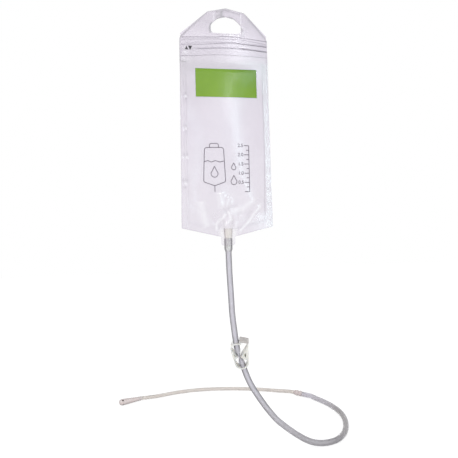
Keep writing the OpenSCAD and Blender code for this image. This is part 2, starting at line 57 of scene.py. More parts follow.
CAMERA_PLACE = (-0.2517, -1.1742, -0.4242)
CAMERA_TURN, CAMERA_ROLL = math.radians(11.958), math.radians(-1.3156)
PICTURE_PIXELS, FOCAL_PIXELS, SENSOR_MM = 458, 600, 36


def photo_camera():
    """The scene's camera, with the photograph's view and lens."""
    ahead = Vector((math.sin(CAMERA_TURN), math.cos(CAMERA_TURN), 0))
    right = Vector((math.cos(CAMERA_TURN), -math.sin(CAMERA_TURN), 0))
    up = Vector((0, 0, 1))
    side = math.cos(CAMERA_ROLL) * right + math.sin(CAMERA_ROLL) * up
    top = -math.sin(CAMERA_ROLL) * right + math.cos(CAMERA_ROLL) * up
    lens = bpy.data.cameras.new("photo_camera")
    lens.sensor_fit = "HORIZONTAL"
    lens.sensor_width = SENSOR_MM
    lens.lens = SENSOR_MM * FOCAL_PIXELS / PICTURE_PIXELS
    camera = bpy.data.objects.new("photo_camera", lens)
    camera.matrix_world = Matrix((side, top, -ahead)).transposed().to_4x4()
    camera.location = CAMERA_PLACE
    scene.collection.objects.link(camera)
    scene.camera = camera


photo_camera()


# Shapes shared by the pieces

def ease(a, b, v):
    """0 at a and 1 at b, with a soft start and end."""
    t = np.clip((np.asarray(v, float) - a) / (b - a), 0, 1)
    return t * t * (3 - 2 * t)


def smooth_route(route, steps):
    """A smooth curve through the points of a route, with so many steps between two of them."""
    r = np.array(route, float)
    points = []
    for i in range(len(r) - 1):
        p0, p1, p2, p3 = r[max(i - 1, 0)], r[i], r[i + 1], r[min(i + 2, len(r) - 1)]
        for k in range(steps):
            t = k / steps
            points.append(0.5 * (2 * p1 + (p2 - p0) * t + (2 * p0 - 5 * p1 + 4 * p2 - p3) * t * t
                                 + (3 * p1 - p0 - 3 * p2 + p3) * t ** 3))
    points.append(r[-1])
    return np.array(points)


def rounded(corners, steps=10):
    """An outline with rounded corners: each corner is (x, z, radius)."""
    line = []
    n = len(corners)
    for i, (x, z, r) in enumerate(corners):
        p = np.array([x, z], float)
        if r == 0:
            line.append(p)
            continue
        a = np.array(corners[i - 1][:2], float) - p
        b = np.array(corners[(i + 1) % n][:2], float) - p
        a, b = a / np.linalg.norm(a), b / np.linalg.norm(b)
        half = math.acos(max(-1, min(1, a @ b))) / 2
        middle = p + (a + b) / np.linalg.norm(a + b) * r / math.sin(half)
        first, last = p + a * r / math.tan(half) - middle, p + b * r / math.tan(half) - middle
        start = math.atan2(first[1], first[0])
        turn = (math.atan2(last[1], last[0]) - start + math.pi) % (2 * math.pi) - math.pi
        for k in range(steps + 1):
            at = start + turn * k / steps
            line.append(middle + r * np.array([math.cos(at), math.sin(at)]))
    return np.array(line)


def mesh_piece(name, points, faces, smooth=True):
    """A new piece from points in millimetres and faces."""
    mesh = bpy.data.meshes.new(name)
    mesh.from_pydata((np.asarray(points, float) * MM).tolist(), [], faces)
    mesh.polygons.foreach_set("use_smooth", [smooth] * len(mesh.polygons))
    mesh.update()
    piece = bpy.data.objects.new(name, mesh)
    scene.collection.objects.link(piece)
    return piece


def paint(piece, name, values):
    """Gives a piece a value at each point, for its material."""
    layer = piece.data.attributes.new(name, "FLOAT", "POINT")
    layer.data.foreach_set("value", np.asarray(values, np.float32))


def grid_faces(rows, columns):
    """Faces of a net of points that are listed row by row."""
    return [(i * columns + k, (i + 1) * columns + k, (i + 1) * columns + k + 1, i * columns + k + 1)
            for i in range(rows - 1) for k in range(columns - 1)]


def lengths_along(line):
    """Length of a line of points from its start to each of them."""
    return np.concatenate([[0], np.cumsum(np.linalg.norm(np.diff(line, axis=0), axis=1))])


def even_track(line, count):
    """So many points, spread evenly along a flat line of points."""
    steps = lengths_along(line)
    even = np.linspace(0, steps[-1], count)
    return np.column_stack([np.interp(even, steps, line[:, k]) for k in (0, 1)])


def belongs(piece, body=None, stands_for=()):
    """Hides the CAD nodes a piece stands for, and hangs it on the body it rides on."""
    if stands_for:
        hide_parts(*stands_for)
    if body:
        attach(piece, body)


def swept_tube(name, path, rings, sides, around=48):
    """A hollow tube: a ring is (outer thin, outer wide, inner thin, inner wide) half axes."""
    count = len(path)
    turn = np.arange(around) * 2 * math.pi / around
    skins = []
    for skin in (0, 2):
        for i in range(count):
            heading = path[min(i + 1, count - 1)] - path[max(i - 1, 0)]
            heading /= np.linalg.norm(heading)
            thin = np.cross(sides[i], heading)
            thin /= np.linalg.norm(thin)
            wide = np.cross(heading, thin)
            skins.append(path[i] + np.outer(np.cos(turn), thin) * rings[i][skin]
                         + np.outer(np.sin(turn), wide) * rings[i][skin + 1])
    faces = []
    inner = count * around
    for i in range(count - 1):
        for k in range(around):
            n = (k + 1) % around
            a, b, c, d = i * around + k, i * around + n, (i + 1) * around + n, (i + 1) * around + k
            faces += [(a, b, c, d), (inner + d, inner + c, inner + b, inner + a)]
    last = (count - 1) * around
    for k in range(around):
        n = (k + 1) % around
        faces += [(n, k, inner + k, inner + n), (last + k, last + n, inner + last + n, inner + last + k)]
    return mesh_piece(name, np.concatenate(skins), faces)


# Hose and probe tube, along the source's routes

# Where the jaws pinch the hose, and the direction in which the pinched hose spreads
PINCH = np.array([10, -10, -677.0])
CLAMP_OUT = np.array([-0.21919, -0.94940, -0.22495])
HOSE_ROUTE = [
    (-5, 0, -443.05), (-5, 0, -463), (-5, 0, -473), (-5, -2, -492), (-5, -5, -516), (-4, -9, -555),
    (-3, -13, -594), (0, -16, -628), (3, -15, -650), (6, -12, -664), (10, -10, -677), (15, -8, -690),
    (20, -6, -704), (26, -5, -720), (33, -6, -736), (42, -9, -752), (52, -13, -768), (65, -20, -787),
    (81, -28, -806), (103, -36, -824), (122, -42, -837), (141, -46, -847), (161, -47, -852),
    (182, -45, -853), (204, -34, -853), (228, -7, -853), (249, 31, -853), (267, 80, -853),
    (277, 130, -853), (277, 182, -853), (271, 222, -853), (263, 252, -853),
    (256.667, 272.926, -852), (250.308, 283.103, -852), (242.916, 294.933, -852)]
# Painted shade along the hose where it darkens: numbers of the route's points, and how dark the painted shade
# is there
HOSE_PAINTED_SHADE = ([14, 18, 20, 22, 24, 25, 27, 28, 29, 30, 31, 33],
             [0, 0.2, 0.29, 0.27, 0.29, 0.45, 0.52, 0.48, 0.28, 0.15, 0.15, 0])
ROUTE_STEPS = 12
HOSE_R, HOSE_BORE_R, TUBE_R, TUBE_BORE_R = 6, 3.8, 4.5, 3
# What the barbs add to the hose's radius and to its bore's, and half the hose's thickness between the jaws
BARBS_OUT, BARBS_BORE, PINCHED_R = 2.069, 2.669, 2.5
# Half the least height of the squeezed bore, and how much of what the jaws take off goes into the width
LEAST_BORE_R, SPREAD = 0.25, 0.7
# Where the stretch over the barbs ends, how far the jaws reach, and the heights where the hose lies down
BARBS_END, JAW_REACH, LANDING_Z = (20, 28), 15, (-760, -845)
# Heights where the painted shade at the sides fades, its distances from the clamp, and where the paler end,
# partly painted light, fades
RIMS_FADE_Z, RIMS_OFF_CLAMP, PALE_END = (-770, -835), (12, 24), (20, 30)
TUBE_ROUTE = [
    (234.914, 307.738, -852), (228.051, 318.721, -852), (214, 336, -853), (195, 352, -854.5),
    (173, 367, -854.5), (150, 380, -854.5), (126, 392, -854.5), (101, 402, -854.5), (76, 410, -854.5),
    (50, 416, -854.5), (24, 421, -854.5), (-3, 423, -854.5), (-31, 421, -854.5), (-58, 416, -854.5),
    (-86, 407, -854.5), (-113, 396, -854.5), (-140, 384, -853), (-162.173, 373.813, -851.25),
    (-174.003, 368.546, -851.25)]


def make_hose():
    """The hose: stretched over the outlet's barbs and squeezed flat in the clamp."""
    path = smooth_route(HOSE_ROUTE, ROUTE_STEPS)
    rings, sides = [], []
    for p in path:
        stretch = 1 - float(ease(*BARBS_END, np.linalg.norm(p - path[0])))
        squeeze = 1 - float(ease(0, JAW_REACH, np.linalg.norm(p - PINCH)))
        inner, outer = HOSE_BORE_R + BARBS_BORE * stretch, HOSE_R + BARBS_OUT * stretch
        thin = outer + (PINCHED_R - outer) * squeeze
        wide = outer + SPREAD * (outer - thin)
        rings.append((thin, wide, max(LEAST_BORE_R, thin - outer + inner), wide - outer + inner))
        level = float(ease(*LANDING_Z, p[2]))
        sides.append((level - 1) * CLAMP_OUT + np.array([0, 0, level]))
    piece = swept_tube("soft_hose", path, rings, sides)
    hanging = 1 - ease(*RIMS_FADE_Z, path[:, 2])
    clear_of_clamp = ease(*RIMS_OFF_CLAMP, np.linalg.norm(path - PINCH, axis=1))
    heading = np.gradient(path, axis=0)
    sideways = np.abs(heading[:, 0]) / np.linalg.norm(heading, axis=1)
    # painted on the hose: shade at its sides, shade along its loop, and a paler end that is partly painted
    # light
    tones = {
        "rims": (hanging + 0.5 * (1 - hanging) * ease(0.5, 0.95, sideways)) * (0.35 + 0.65 * clear_of_clamp),
        "painted_loop_shade": np.interp(np.arange(len(path)) / ROUTE_STEPS, *HOSE_PAINTED_SHADE),
        "stretched": 1 - ease(*PALE_END, np.linalg.norm(path - path[0], axis=1)),
    }
    for name, along in tones.items():
        paint(piece, name, np.tile(np.repeat(along, len(piece.data.vertices) // (2 * len(path))), 2))
    return piece, path


def make_probe():
    """The thinner, stiffer tube from the coupler to the tip."""
    path = smooth_route(TUBE_ROUTE, ROUTE_STEPS)
    rings = [(TUBE_R, TUBE_R, TUBE_BORE_R, TUBE_BORE_R)] * len(path)
    return swept_tube("probe_line", path, rings, [np.array([0, 0, 1.0])] * len(path)), path


soft_hose, hose_path = make_hose()
belongs(soft_hose, "drencher", ["hose"])
probe_line, probe_path = make_probe()
belongs(probe_line, "drencher", ["probe_tube"])


# The two films

POUCH_X, FOLD_Z, SEAM, JOIN_Z = -5.0, -91.0, 12.0, -36.0
SHOULDER_Z, SHOULDER_W, BASE_Z, BASE_W, VEE = -45, 178, -421, 186, 22
# The ear round the outlet: half its width, the radius of its corners, the V's height beside it and its foot
EAR_HALF, EAR_R, EAR_TOP, EAR_Z = 14.5, 5, -439.4, -457
# Half a film's thickness, and half the gap between the films' middles in the pouch and at the zip
HALF_FILM, SWELL, MOUTH_GAP = 0.2, 6.5, 1.4
# The pouch is full below this height and so far above the V's weld; the zip's gap has closed at the last one
FULL_Z, VEE_RISE, MOUTH_END_Z = -261, 70, -115
# The films' radius round the outlet, the height where they hold it, and the heights where they let it go
PORT_R, PORT_Z, LET_GO_Z = 8.755, -440, (-423, -353)
# Above the outlet, how much wider the round gap gets and up to which height, and how much flatter
PORT_WIDER, WIDER_Z, PORT_FLATTER, FLATTER_Z = 14, -372, 0.3, -390
PANEL = rounded([(-94.489, -91, 0), (-94, -45, 6), (-37.5, 9, 7), (0, 17, 14), (37.5, 9, 7), (84, -45, 6),
                 (84.489, -91, 0)])
HOLE = rounded([(-31, -33, 8), (-31, -16.5, 11), (-17.05, -3.667, 18), (0, 0, 5), (17.05, -3.667, 18),
                (31, -16.5, 11), (31, -33, 8)])
HOLE_MIDDLE = np.array([0.0, -17.0])


def pouch_half(z):
    """Half the pouch's width at a height."""
    return (SHOULDER_W + (BASE_W - SHOULDER_W) * (SHOULDER_Z - z) / (SHOULDER_Z - BASE_Z)) / 2


def film_edge(u):
    """Height of the films' lower edge, u from the pouch's middle."""
    a = np.abs(u)
    flat = EAR_HALF - EAR_R
    vee = BASE_Z - VEE * (1 - a / (BASE_W / 2))
    corner = EAR_Z + EAR_R - np.sqrt(np.maximum(0, EAR_R ** 2 - (np.clip(a, flat, EAR_HALF) - flat) ** 2))
    return np.where(a > EAR_HALF, vee, np.where(a > flat, corner, float(EAR_Z)))


def vee_edge(u):
    """The lower edge without the ear: over the ear it stays at the height beside it."""
    return film_edge(np.maximum(np.abs(u), EAR_HALF + 0.1))


def film_gap(u, z):
    """Half gap between the films' middles, u from the pouch's middle."""
    a = np.abs(u)
    across = 1 - np.minimum(1, a / (pouch_half(z) - SEAM)) ** 2.4
    down = ease(FOLD_Z, FULL_Z, z) * ease(0, VEE_RISE, z - SEAM - vee_edge(a))
    swell = SWELL * across * down
    mouth = MOUTH_GAP * (1 - ease(FOLD_Z, MOUTH_END_Z, z))
    hold = 1 - ease(*LET_GO_Z, z)
    spread = PORT_R + PORT_WIDER * ease(BASE_Z, WIDER_Z, z)
    flatter = 1 - PORT_FLATTER * ease(BASE_Z, FLATTER_Z, z)
    port = hold * PORT_R * np.sqrt(np.maximum(0, 1 - (a / spread) ** 2)) * flatter
    return np.maximum(np.maximum(mouth, swell) + HALF_FILM, port)


def along_line(x, z, line):
    """Distance of each point from a line of points, and how far along it the nearest place is (0 to 1)."""
    line = np.array(line, float)
    steps = np.linalg.norm(np.diff(line, axis=0), axis=1)
    total, done = steps.sum(), 0.0
    best, place = np.full(x.shape, 1e9), np.zeros(x.shape)
    for (ax, az), (bx, bz), step in zip(line[:-1], line[1:], steps):
        t = np.clip(((x - ax) * (bx - ax) + (z - az) * (bz - az)) / step ** 2, 0, 1)
        d = np.hypot(x - ax - t * (bx - ax), z - az - t * (bz - az))
        near = d < best
        best = np.where(near, d, best)
        place = np.where(near, (done + t * step) / total, place)
        done += step
    return best, place


# Folds in the films: line of points, height out of the film, width, and tone (below 0 painted shade, above 0
# painted highlight)
FRONT_FOLDS = [
    ([(16, -432), (18.5, -428.7), (29, -419), (40, -407), (50, -393), (59, -383), (67, -369)], 1.5, 2.8, 0.8),
    ([(-4, -390), (11, -388.6), (26, -383), (40, -373), (57, -364)], 1.4, 6.5, 0.55),
    ([(-6, -388), (-5, -390), (-1, -398), (2.6, -409)], 0.55, 3.0, 0.7),
    ([(4, -403), (-5.6, -410), (-15, -419)], 0.55, 3.0, 0.7),
    ([(-10, -391), (-13.5, -400), (-24, -408), (-28, -414), (-28, -424), (-26, -431)], 0.6, 3.0, 0.75),
    ([(-23, -350), (-20, -366), (-17, -386)], 0.9, 7.0, 0.45),
    ([(-2, -360), (-9, -382)], 0.8, 5.0, 0.4),
    ([(-61, -366), (-55, -392), (-46, -424)], 1.2, 7.5, 0.6),
    ([(13, -408), (10.5, -424)], 0.5, 2.6, 0.6),
    ([(18, -396), (23, -412)], 1.0, 2.6, 0.35),
    ([(23, -417), (35.7, -401), (47, -386)], -1.2, 2.8, -0.22),
    ([(-10, -387), (1, -382.4), (17, -378)], -1.2, 2.4, -0.3),
    ([(-24, -412), (-24.7, -424)], -0.6, 2.4, -0.4),
    ([(-14, -382), (-9.2, -390), (-7, -402)], -0.6, 2.6, -0.3),
    ([(-13.3, -421), (-12.9, -434), (-12.5, -445)], 0, 1.1, -0.9),
    ([(3.3, -421), (2.9, -434), (2.5, -445)], 0, 1.1, -0.9),
    ([(-24.6, 9), (-24.6, -10)], 0.1, 1.5, 0.35),
    ([(30.9, 8), (30.6, -4), (30.4, -16)], 0.1, 1.4, 0.4),
    ([(-7.6, 13), (-9, 7), (-9.5, -1)], -0.05, 3.4, -0.8),
    ([(-23, -9.2), (-14.4, -4.4), (-7.2, -0.6), (-2, 1.2)], -0.05, 2.4, -1.0),
    ([(-21, -1), (-11, 4.4)], -0.05, 2.8, -0.55),
    ([(-22, 8), (-3.8, 13), (12, 10.6)], -0.05, 2.4, -0.65),
    ([(9, 10.8), (20.6, 7.8), (32, 6)], -0.05, 1.8, -0.45),
    ([(3, 2.2), (12, -2), (22, -8)], -0.05, 1.8, -0.5),
    ([(-28, -11), (-32.4, -20), (-33, -28.7), (-30.2, -34.5)], -0.05, 2.2, -0.9),
    ([(31, -18), (33.3, -27.7), (33.1, -39.7)], -0.05, 2.2, -0.7),
    ([(-6, -37.5), (14, -37.1), (32, -37.9)], 0, 0.9, 0.45),
    ([(36, -16), (56, -36), (74, -45)], 0, 9.0, -0.12),
    ([(14, -53.4), (45, -55.2), (82, -58.6)], 0, 2.4, -0.22),
    ([(32, -42.6), (60, -46), (83, -49.4)], 0, 2.0, -0.12),
]
REAR_FOLDS = [
    ([(-14, -430), (-36, -408), (-66, -372)], 2.0, 3.4, 0.5),
    ([(10, -425), (20, -404), (30, -372)], 1.8, 3.4, 0.5),
    ([(-4, -410), (-8, -385), (-2, -355)], 1.4, 4.0, 0.3),
    ([(26, -428), (58, -412), (72, -398)], 1.2, 3.4, 0.3),
    ([(-24, 9), (-24, -10)], 0.1, 1.8, 0.3),
    ([(30.9, 8), (30.4, -16)], 0.1, 1.6, 0.3),
]
# Painted shade along lines that the zip presses into the mouth: line of points, strength at its left and
# right end, width
ZIP_LINES = [
    ([(-92, -44.3), (-63, -42.9), (-22, -41.3), (-4, -39.4), (30, -41.0), (83, -46.6)], 0.5, 0.45, 0.8),
    ([(-90, -48.6), (-63, -47.1), (14, -44.8), (82, -52.4)], 0.3, 0.25, 0.7),
    ([(-88, -60), (-64, -58.5), (-22, -54.4), (9, -51.7), (33, -53.5), (83, -57.8)], 0.2, 0.75, 0.8),
    ([(-60, -66.2), (-23, -63.4), (13, -62.5), (33, -63.1), (83, -67.9)], 0.35, 1.0, 0.8),
    ([(-92, -81), (-64, -79.8), (-23, -76.8), (13, -76.8), (83, -79.6)], 0.35, 0.3, 0.7),
    ([(-91.6, -91.8), (-85, -92), (-79, -91.2)], 0.9, 0.4, 1.1),
    ([(72, -45), (83, -47)], 0.2, 0.8, 1.2),
    ([(-30, -35.6), (30, -34.9)], 0.5, 0.5, 0.8),
]
# Painted glints and painted shade at dimples along the side seams: x, z, size, tone
SEAM_PAINTED_GLINTS = [
    (-83, -73.6, 4.2, 0.45), (-87, -86.2, 3.0, 0.35), (-77.5, -88.5, 5.5, 0.16),
    (-84, -160, 2.2, 0.9), (-84, -153.6, 1.8, -0.6), (-79, -158.8, 1.4, -0.5), (-84.2, -165.5, 1.8, -0.6),
    (-85.5, -224, 2.2, 0.9), (-85.4, -217.5, 1.8, -0.5), (-80.6, -225.7, 1.5, -0.5),
    (-85.7, -230.5, 1.8, -0.5),
    (-93.5, -281, 2.0, 0.8), (-85, -281, 2.4, 0.8), (-90, -274.5, 2.4, -0.4), (-84, -274.5, 2.4, -0.35),
    (-88, -332, 3.0, 0.6), (-92, -325.5, 2.6, -0.35), (-86, -325.8, 2.6, -0.35), (-90, -340, 2.8, -0.35),
    (79, -300, 2.6, -0.25), (82, -318, 2.6, 0.4), (80, -345, 3.0, -0.3),
    (82, -362, 2.6, 0.4), (79, -372, 3.0, -0.25),
]
# Heights where the side seams pucker
SEAM_PUCKERS = (-160, -224, -281, -332)
# The painted shade round the fold below the zip: heights, and how dark it is there
MOUTH_PAINTED_SHADE = ([-230, -180, -140, -105, -93, -80, -60], [0, 0.083, 0.235, 0.37, 0.41, 0.23, 0.07])
# The printed green block: left, right, low, high
LABEL = (-64.1, 60.5, -161.0, -104.4)

# Folds and zip lines on smooth curves; side -1 is the printed front, 1 the rear
FOLDS = {-1: [(smooth_route(line, 4), *form) for line, *form in FRONT_FOLDS], 1: REAR_FOLDS}
ZIP_TRACKS = [(smooth_route(line, 5), *form) for line, *form in ZIP_LINES]


def inside_label(x, z):
    """Distance inside the green block's outline, below 0 outside it."""
    left, right, low, high = LABEL
    return np.min([x - left, right - x, z - low, high - z], axis=0)


def zip_lines(x, z):
    """How dark the painted shade of the zip's lines is at a point."""
    dark = np.zeros(np.shape(x))
    for line, left, right, width in ZIP_TRACKS:
        d, place = along_line(x, z, line)
        ends = ease(0, 0.03, place) * (1 - ease(0.985, 1, place))
        strength = (left + (right - left) * place) * np.maximum(ends, 0.3)
        dark = np.maximum(dark, strength * np.exp(-(d / width) ** 2))
    return dark


def film_tone(side, x, z):
    """The film's painted shade and painted highlights at its folds, its zip lines and its dimples."""
    dark, white = (zip_lines(x, z) if side < 0 else np.zeros(x.shape)), np.zeros(x.shape)
    marks = []
    for line, _, width, tone in FOLDS[side]:
        d, place = along_line(x, z, line)
        marks.append((tone, np.exp(-(d / width) ** 2) * ease(0, 0.1, place) * (1 - ease(0.85, 1, place))))
    for px, pz, size, tone in SEAM_PAINTED_GLINTS:
        marks.append((tone, np.exp(-((x - px) ** 2 + (z - pz) ** 2) / size ** 2)))
    for tone, shown in marks:
        if tone < 0:
            dark = np.maximum(dark, -tone * shown)
        else:
            white = np.maximum(white, tone * shown)
    return dark, white


def zip_droop(x):
    """How far the zip hangs down at a place across the bag."""
    return 5.5 * ((x - 3) / 85) ** 2


def film_y(side, x, z):
    """Where the film lies: side -1 is the printed front, 1 the rear. x is from the origin."""
    u = x - POUCH_X
    gap = film_gap(u, z)
    room = np.clip((gap - 0.3) / 1.8, 0, 1)
    low = ease(-105, -150, z)
    away = ease(20, 45, np.hypot(u, z - PORT_Z))
    beside = pouch_half(z) - np.abs(u)
    # ripples along the side seams, stronger on the left, with puckers at a few places
    seam = 1 - ease(7, 19, beside)
    waves = np.sin(z / 6 + 1.7 * np.sin(z / 15) + np.sign(u))
    ripple = seam * low * np.where(u < 0, 0.3, 0.12) * waves * ease(-0.4, 0.9, np.sin(z / 19 + u))
    for place in SEAM_PUCKERS:
        d = z - place
        ripple += (np.where(u < 0, 1, 0.25) * np.exp(-((beside - 9) / 5) ** 2)
                   * 0.9 * np.exp(-(d / 5.5) ** 2) * np.cos(d / 2.1))
    # one slow wave in both films, and then each film's own folds and, low down, its broad waves
    wave = low * away * 0.5 * np.sin(u / 38 + z / 130 + 0.6)
    folds = np.zeros(np.shape(x))
    for line, height, width, _ in FOLDS[side]:
        d, place = along_line(x, z, line)
        folds += height * np.exp(-(d / width) ** 2) * ease(0, 0.16, place) * (1 - ease(0.8, 1, place))
    handle = ease(-60, -20, z)
    broad = room * (0.9 * np.sin(u / 16 + z / 47 + side) * np.sin(z / 61 + 1.3) * ease(-290, -350, z))
    return side * (gap + folds * np.maximum(room, handle) + broad) + (ripple + wave) * (1 - room * 0.3)


def film_columns(left, right):
    """The x of one row's points: close together at both edges and round the outlet."""
    edge = [0, 0.7, 1.6, 2.8, 4.2, 5.8, 7.4, 9, 10.4, 11.6, 12.8, 14, 15.4, 17, 19, 22, 26, 30]
    port = [8.6 * math.sin(math.radians(a)) for a in range(0, 91, 10)]
    port += [9.2, 11, 12.6, 13.6, 14.2, 14.6, 15.2, 17, 20]
    between = 36
    border, middle = edge[-1], port[-1]
    row = [left + e for e in edge]
    row += [left + border + (POUCH_X - middle - left - border) * k / between for k in range(1, between)]
    row += [POUCH_X - p for p in reversed(port)] + [POUCH_X + p for p in port[1:]]
    row += [POUCH_X + middle + (right - border - POUCH_X - middle) * k / between for k in range(1, between)]
    return row + [right - e for e in reversed(edge)]


def film_rows():
    """Rows of points (x, z) from the handle's foot down to the lower edge."""
    rise = PANEL[(PANEL[:, 0] < 0) & (PANEL[:, 1] < 0)]
    fall = PANEL[(PANEL[:, 0] > 0) & (PANEL[:, 1] < 0)][::-1]
    levels = [*np.arange(JOIN_Z, -95, -0.8), *np.arange(-95, -340, -2.5), *np.arange(-340, -381, -1.3)]
    rows = []
    for z in levels:
        left = np.interp(z, rise[:, 1], rise[:, 0]) if z > FOLD_Z else POUCH_X - pouch_half(z)
        right = np.interp(z, fall[:, 1], fall[:, 0]) if z > FOLD_Z else POUCH_X + pouch_half(z)
        rows.append([(x, z) for x in film_columns(left, right)])
    above, start = np.array([x for x, _ in rows[-1]]), levels[-1]
    foot = np.array(film_columns(POUCH_X - pouch_half(BASE_Z), POUCH_X + pouch_half(BASE_Z)))
    edge, vee = film_edge(foot - POUCH_X), vee_edge(foot - POUCH_X)
    # level rows turn into rows along the V, and those into the edge with its ear
    over_vee = (26, 24.2, 22.4, 20.6, 18.8, 17, 15.4, 14, 12.6, 11.4, 10.2, 8.8, 7.4, 6, 4.6, 3.4, 2.2)
    turning = 26
    for k in range(1, turning):
        f = k / turning
        rows.append(list(zip(above + (foot - above) * f, start + (vee + over_vee[0] - start) * f)))
    for off in over_vee:
        rows.append(list(zip(foot, vee + off)))
    for share in (0.1, 0.25, 0.4, 0.55, 0.7, 0.82, 0.91, 0.97, 1):
        rows.append(list(zip(foot, vee + over_vee[-1] + (edge - vee - over_vee[-1]) * share)))
    return rows


def hole_reach(bearing):
    """Distance of the hand hole's edge from its middle in each direction."""
    hole = HOLE - HOLE_MIDDLE
    loop = hole[np.argsort(np.arctan2(hole[:, 1], hole[:, 0]))]
    loop = np.vstack([loop, loop[:1]])
    shares = np.linspace(0, 1, 12, endpoint=False)[:, None]
    fine = np.vstack([a + (b - a) * shares for a, b in zip(loop[:-1], loop[1:])])
    turn = np.arctan2(fine[:, 1], fine[:, 0])
    order = np.argsort(turn)
    return np.interp(bearing, turn[order], np.hypot(fine[:, 0], fine[:, 1])[order], period=2 * math.pi)


def film_net():
    """Points (x, z) and faces of a film's flat cut, and their distances from its outline and its hole."""
    rows = film_rows()
    wide = len(rows[0])
    points = [p for row in rows for p in row]
    faces = grid_faces(len(rows), wide)
    # handle: rings from the hand hole out to the panel's outline, joined to the first row
    arc = 300
    arch = np.vstack([[rows[0][0]], PANEL[PANEL[:, 1] > JOIN_Z], [rows[0][-1]]])
    outer = np.vstack([even_track(arch, arc), np.array(rows[0][-2:0:-1])])
    bearing = np.arctan2(outer[:, 1] - HOLE_MIDDLE[1], outer[:, 0] - HOLE_MIDDLE[0])
    inner = HOLE_MIDDLE + np.column_stack([np.cos(bearing), np.sin(bearing)]) * hole_reach(bearing)[:, None]
    shares = [0, 0.012, 0.03, *np.linspace(0.06, 0.96, 28), 0.985]
    base, count = len(points), len(outer)
    for f in shares:
        points += [tuple(p) for p in inner + (outer - inner) * f]
    rim = [base + len(shares) * count + k for k in range(arc - 2)]
    points += [tuple(p) for p in outer[1:arc - 1]]
    border = [0] + rim + [wide - 1] + list(range(wide - 2, 0, -1))
    rings = [[base + i * count + k for k in range(count)] for i in range(len(shares))] + [border]
    for low, high in zip(rings[:-1], rings[1:]):
        faces += [(low[k], low[(k + 1) % count], high[(k + 1) % count], high[k]) for k in range(count)]
    points = np.array(points)
    right_foot = [(pouch_half(BASE_Z), BASE_Z), (EAR_HALF, EAR_TOP), (EAR_HALF, EAR_Z + EAR_R),
                  (EAR_HALF - EAR_R, EAR_Z)]
    foot = right_foot + [(-u, z) for u, z in reversed(right_foot)]
    outline = np.vstack([PANEL, [(POUCH_X + u, z) for u, z in foot], PANEL[:1]])
    x, z = points[:, 0], points[:, 1]
    return points, faces, along_line(x, z, outline)[0], along_line(x, z, np.vstack([HOLE, HOLE[:1]]))[0]


film_points, film_faces, from_cut, from_hole = film_net()


def film_sheet(name, side):
    """One film, with how dense it is, its painted shade and its painted highlights at each point."""
    x, z = film_points[:, 0], film_points[:, 1]
    u = x - POUCH_X
    faces = film_faces if side < 0 else [f[::-1] for f in film_faces]
    piece = mesh_piece(name, np.column_stack([x, film_y(side, x, z), z]), faces)
    # beads along the welds, and the rim along the cut edge and round the hand hole
    beside = pouch_half(z) - np.abs(u)
    above = (z - vee_edge(u)) * math.cos(math.atan(VEE / (BASE_W / 2)))
    pouch = ease(FOLD_Z, FOLD_Z - 8, z)
    weld = np.where(z < FOLD_Z, np.minimum(beside, above), 99) - SEAM - 3.5 * ease(-267, -405, z)
    bead = (1 + 1.6 * (u > 0)) * np.exp(-(weld / 0.9) ** 2) + 0.6 * np.exp(-((weld + 4.4) / 0.8) ** 2)
    # painted shade that darkens the rim more at the handle's right and at the zip's left end
    corners = 0.4 * ease(20, 50, x) * ease(-70, -45, z) + 0.5 * ease(-60, -85, x) * ease(-96, -88, z)
    rim = np.maximum((1 - ease(0.3, 3.0, from_cut)) * (1 + corners), 0.45 * (1 - ease(0.3, 3.0, from_hole)))
    rim = rim * (1 - 0.55 * pouch)
    handle = ease(-44, -6, z)
    outlet = (1 - ease(13, 22, np.abs(u))) * (1 - ease(-426, -418, z))
    dark, white = film_tone(side, x, z)
    # how dense the film looks, less so where it is printed
    plain = 0.55 - 0.05 * ease(-60, -130, z) - 0.13 * ease(-130, -380, z)
    veil = plain + 0.16 * rim + 0.08 * bead + 0.08 * handle + 0.35 * dark + 0.25 * white - 0.2 * outlet
    printed = (0.95 if side < 0 else 0.5) * ease(0, 2.5, inside_label(x, z))
    paint(piece, "veil", np.clip(veil * (1 - printed), 0, 1))
    # how dark it is: painted shade below the zip, on the handle, above the hole, along the right seam and in
    # creases, besides the darker rims and beads; and its painted highlights
    band = np.interp(z, *MOUTH_PAINTED_SHADE)
    legs = (0.1 + 0.15 * (1 - ease(-40, -10, x)) + 0.13 * ease(25, 45, x)) * handle
    hook = ease(-10, -2, z) * (1 - ease(16, 34, np.abs(x)))
    right_seam = (u > 0) * (1 - ease(9, 13, beside)) * pouch
    shade = (band + 0.45 * rim + 0.2 * bead + legs + 0.05 * hook + 0.95 * dark + 0.16 * right_seam
             - 0.28 * outlet)
    paint(piece, "shade", np.clip(shade, 0, 1))
    paint(piece, "painted_highlight", np.clip(white, 0, 1))
    return piece


front_sheet = film_sheet("front_sheet", -1)
rear_sheet = film_sheet("rear_sheet", 1)
belongs(front_sheet, stands_for=["front_film", "front_lip"])
belongs(rear_sheet, "drencher", ["rear_film"])


# Print on the front film: the green block, and a fill scale beside a pouch outline

LABEL_LIFT, INK_LIFT, SHADE_LINE_LIFT, INK_WIDTH, INK_STEP = 0.15, 0.12, 0.1, 1.55, 1.5
# The fill scale: its line's x, its top, the step from mark to mark and the number of marks
SCALE_X, SCALE_TOP, MARK_STEP, MARKS = 40, -258, 9.2, 11
LITRES = ("2.5", "2.0", "1.5", "1.0", "0.5")


def on_front(x, z, lift):
    """Points laid on the front film, lifted off it by so much."""
    return np.column_stack([x, film_y(-1, x, z) - lift, z])


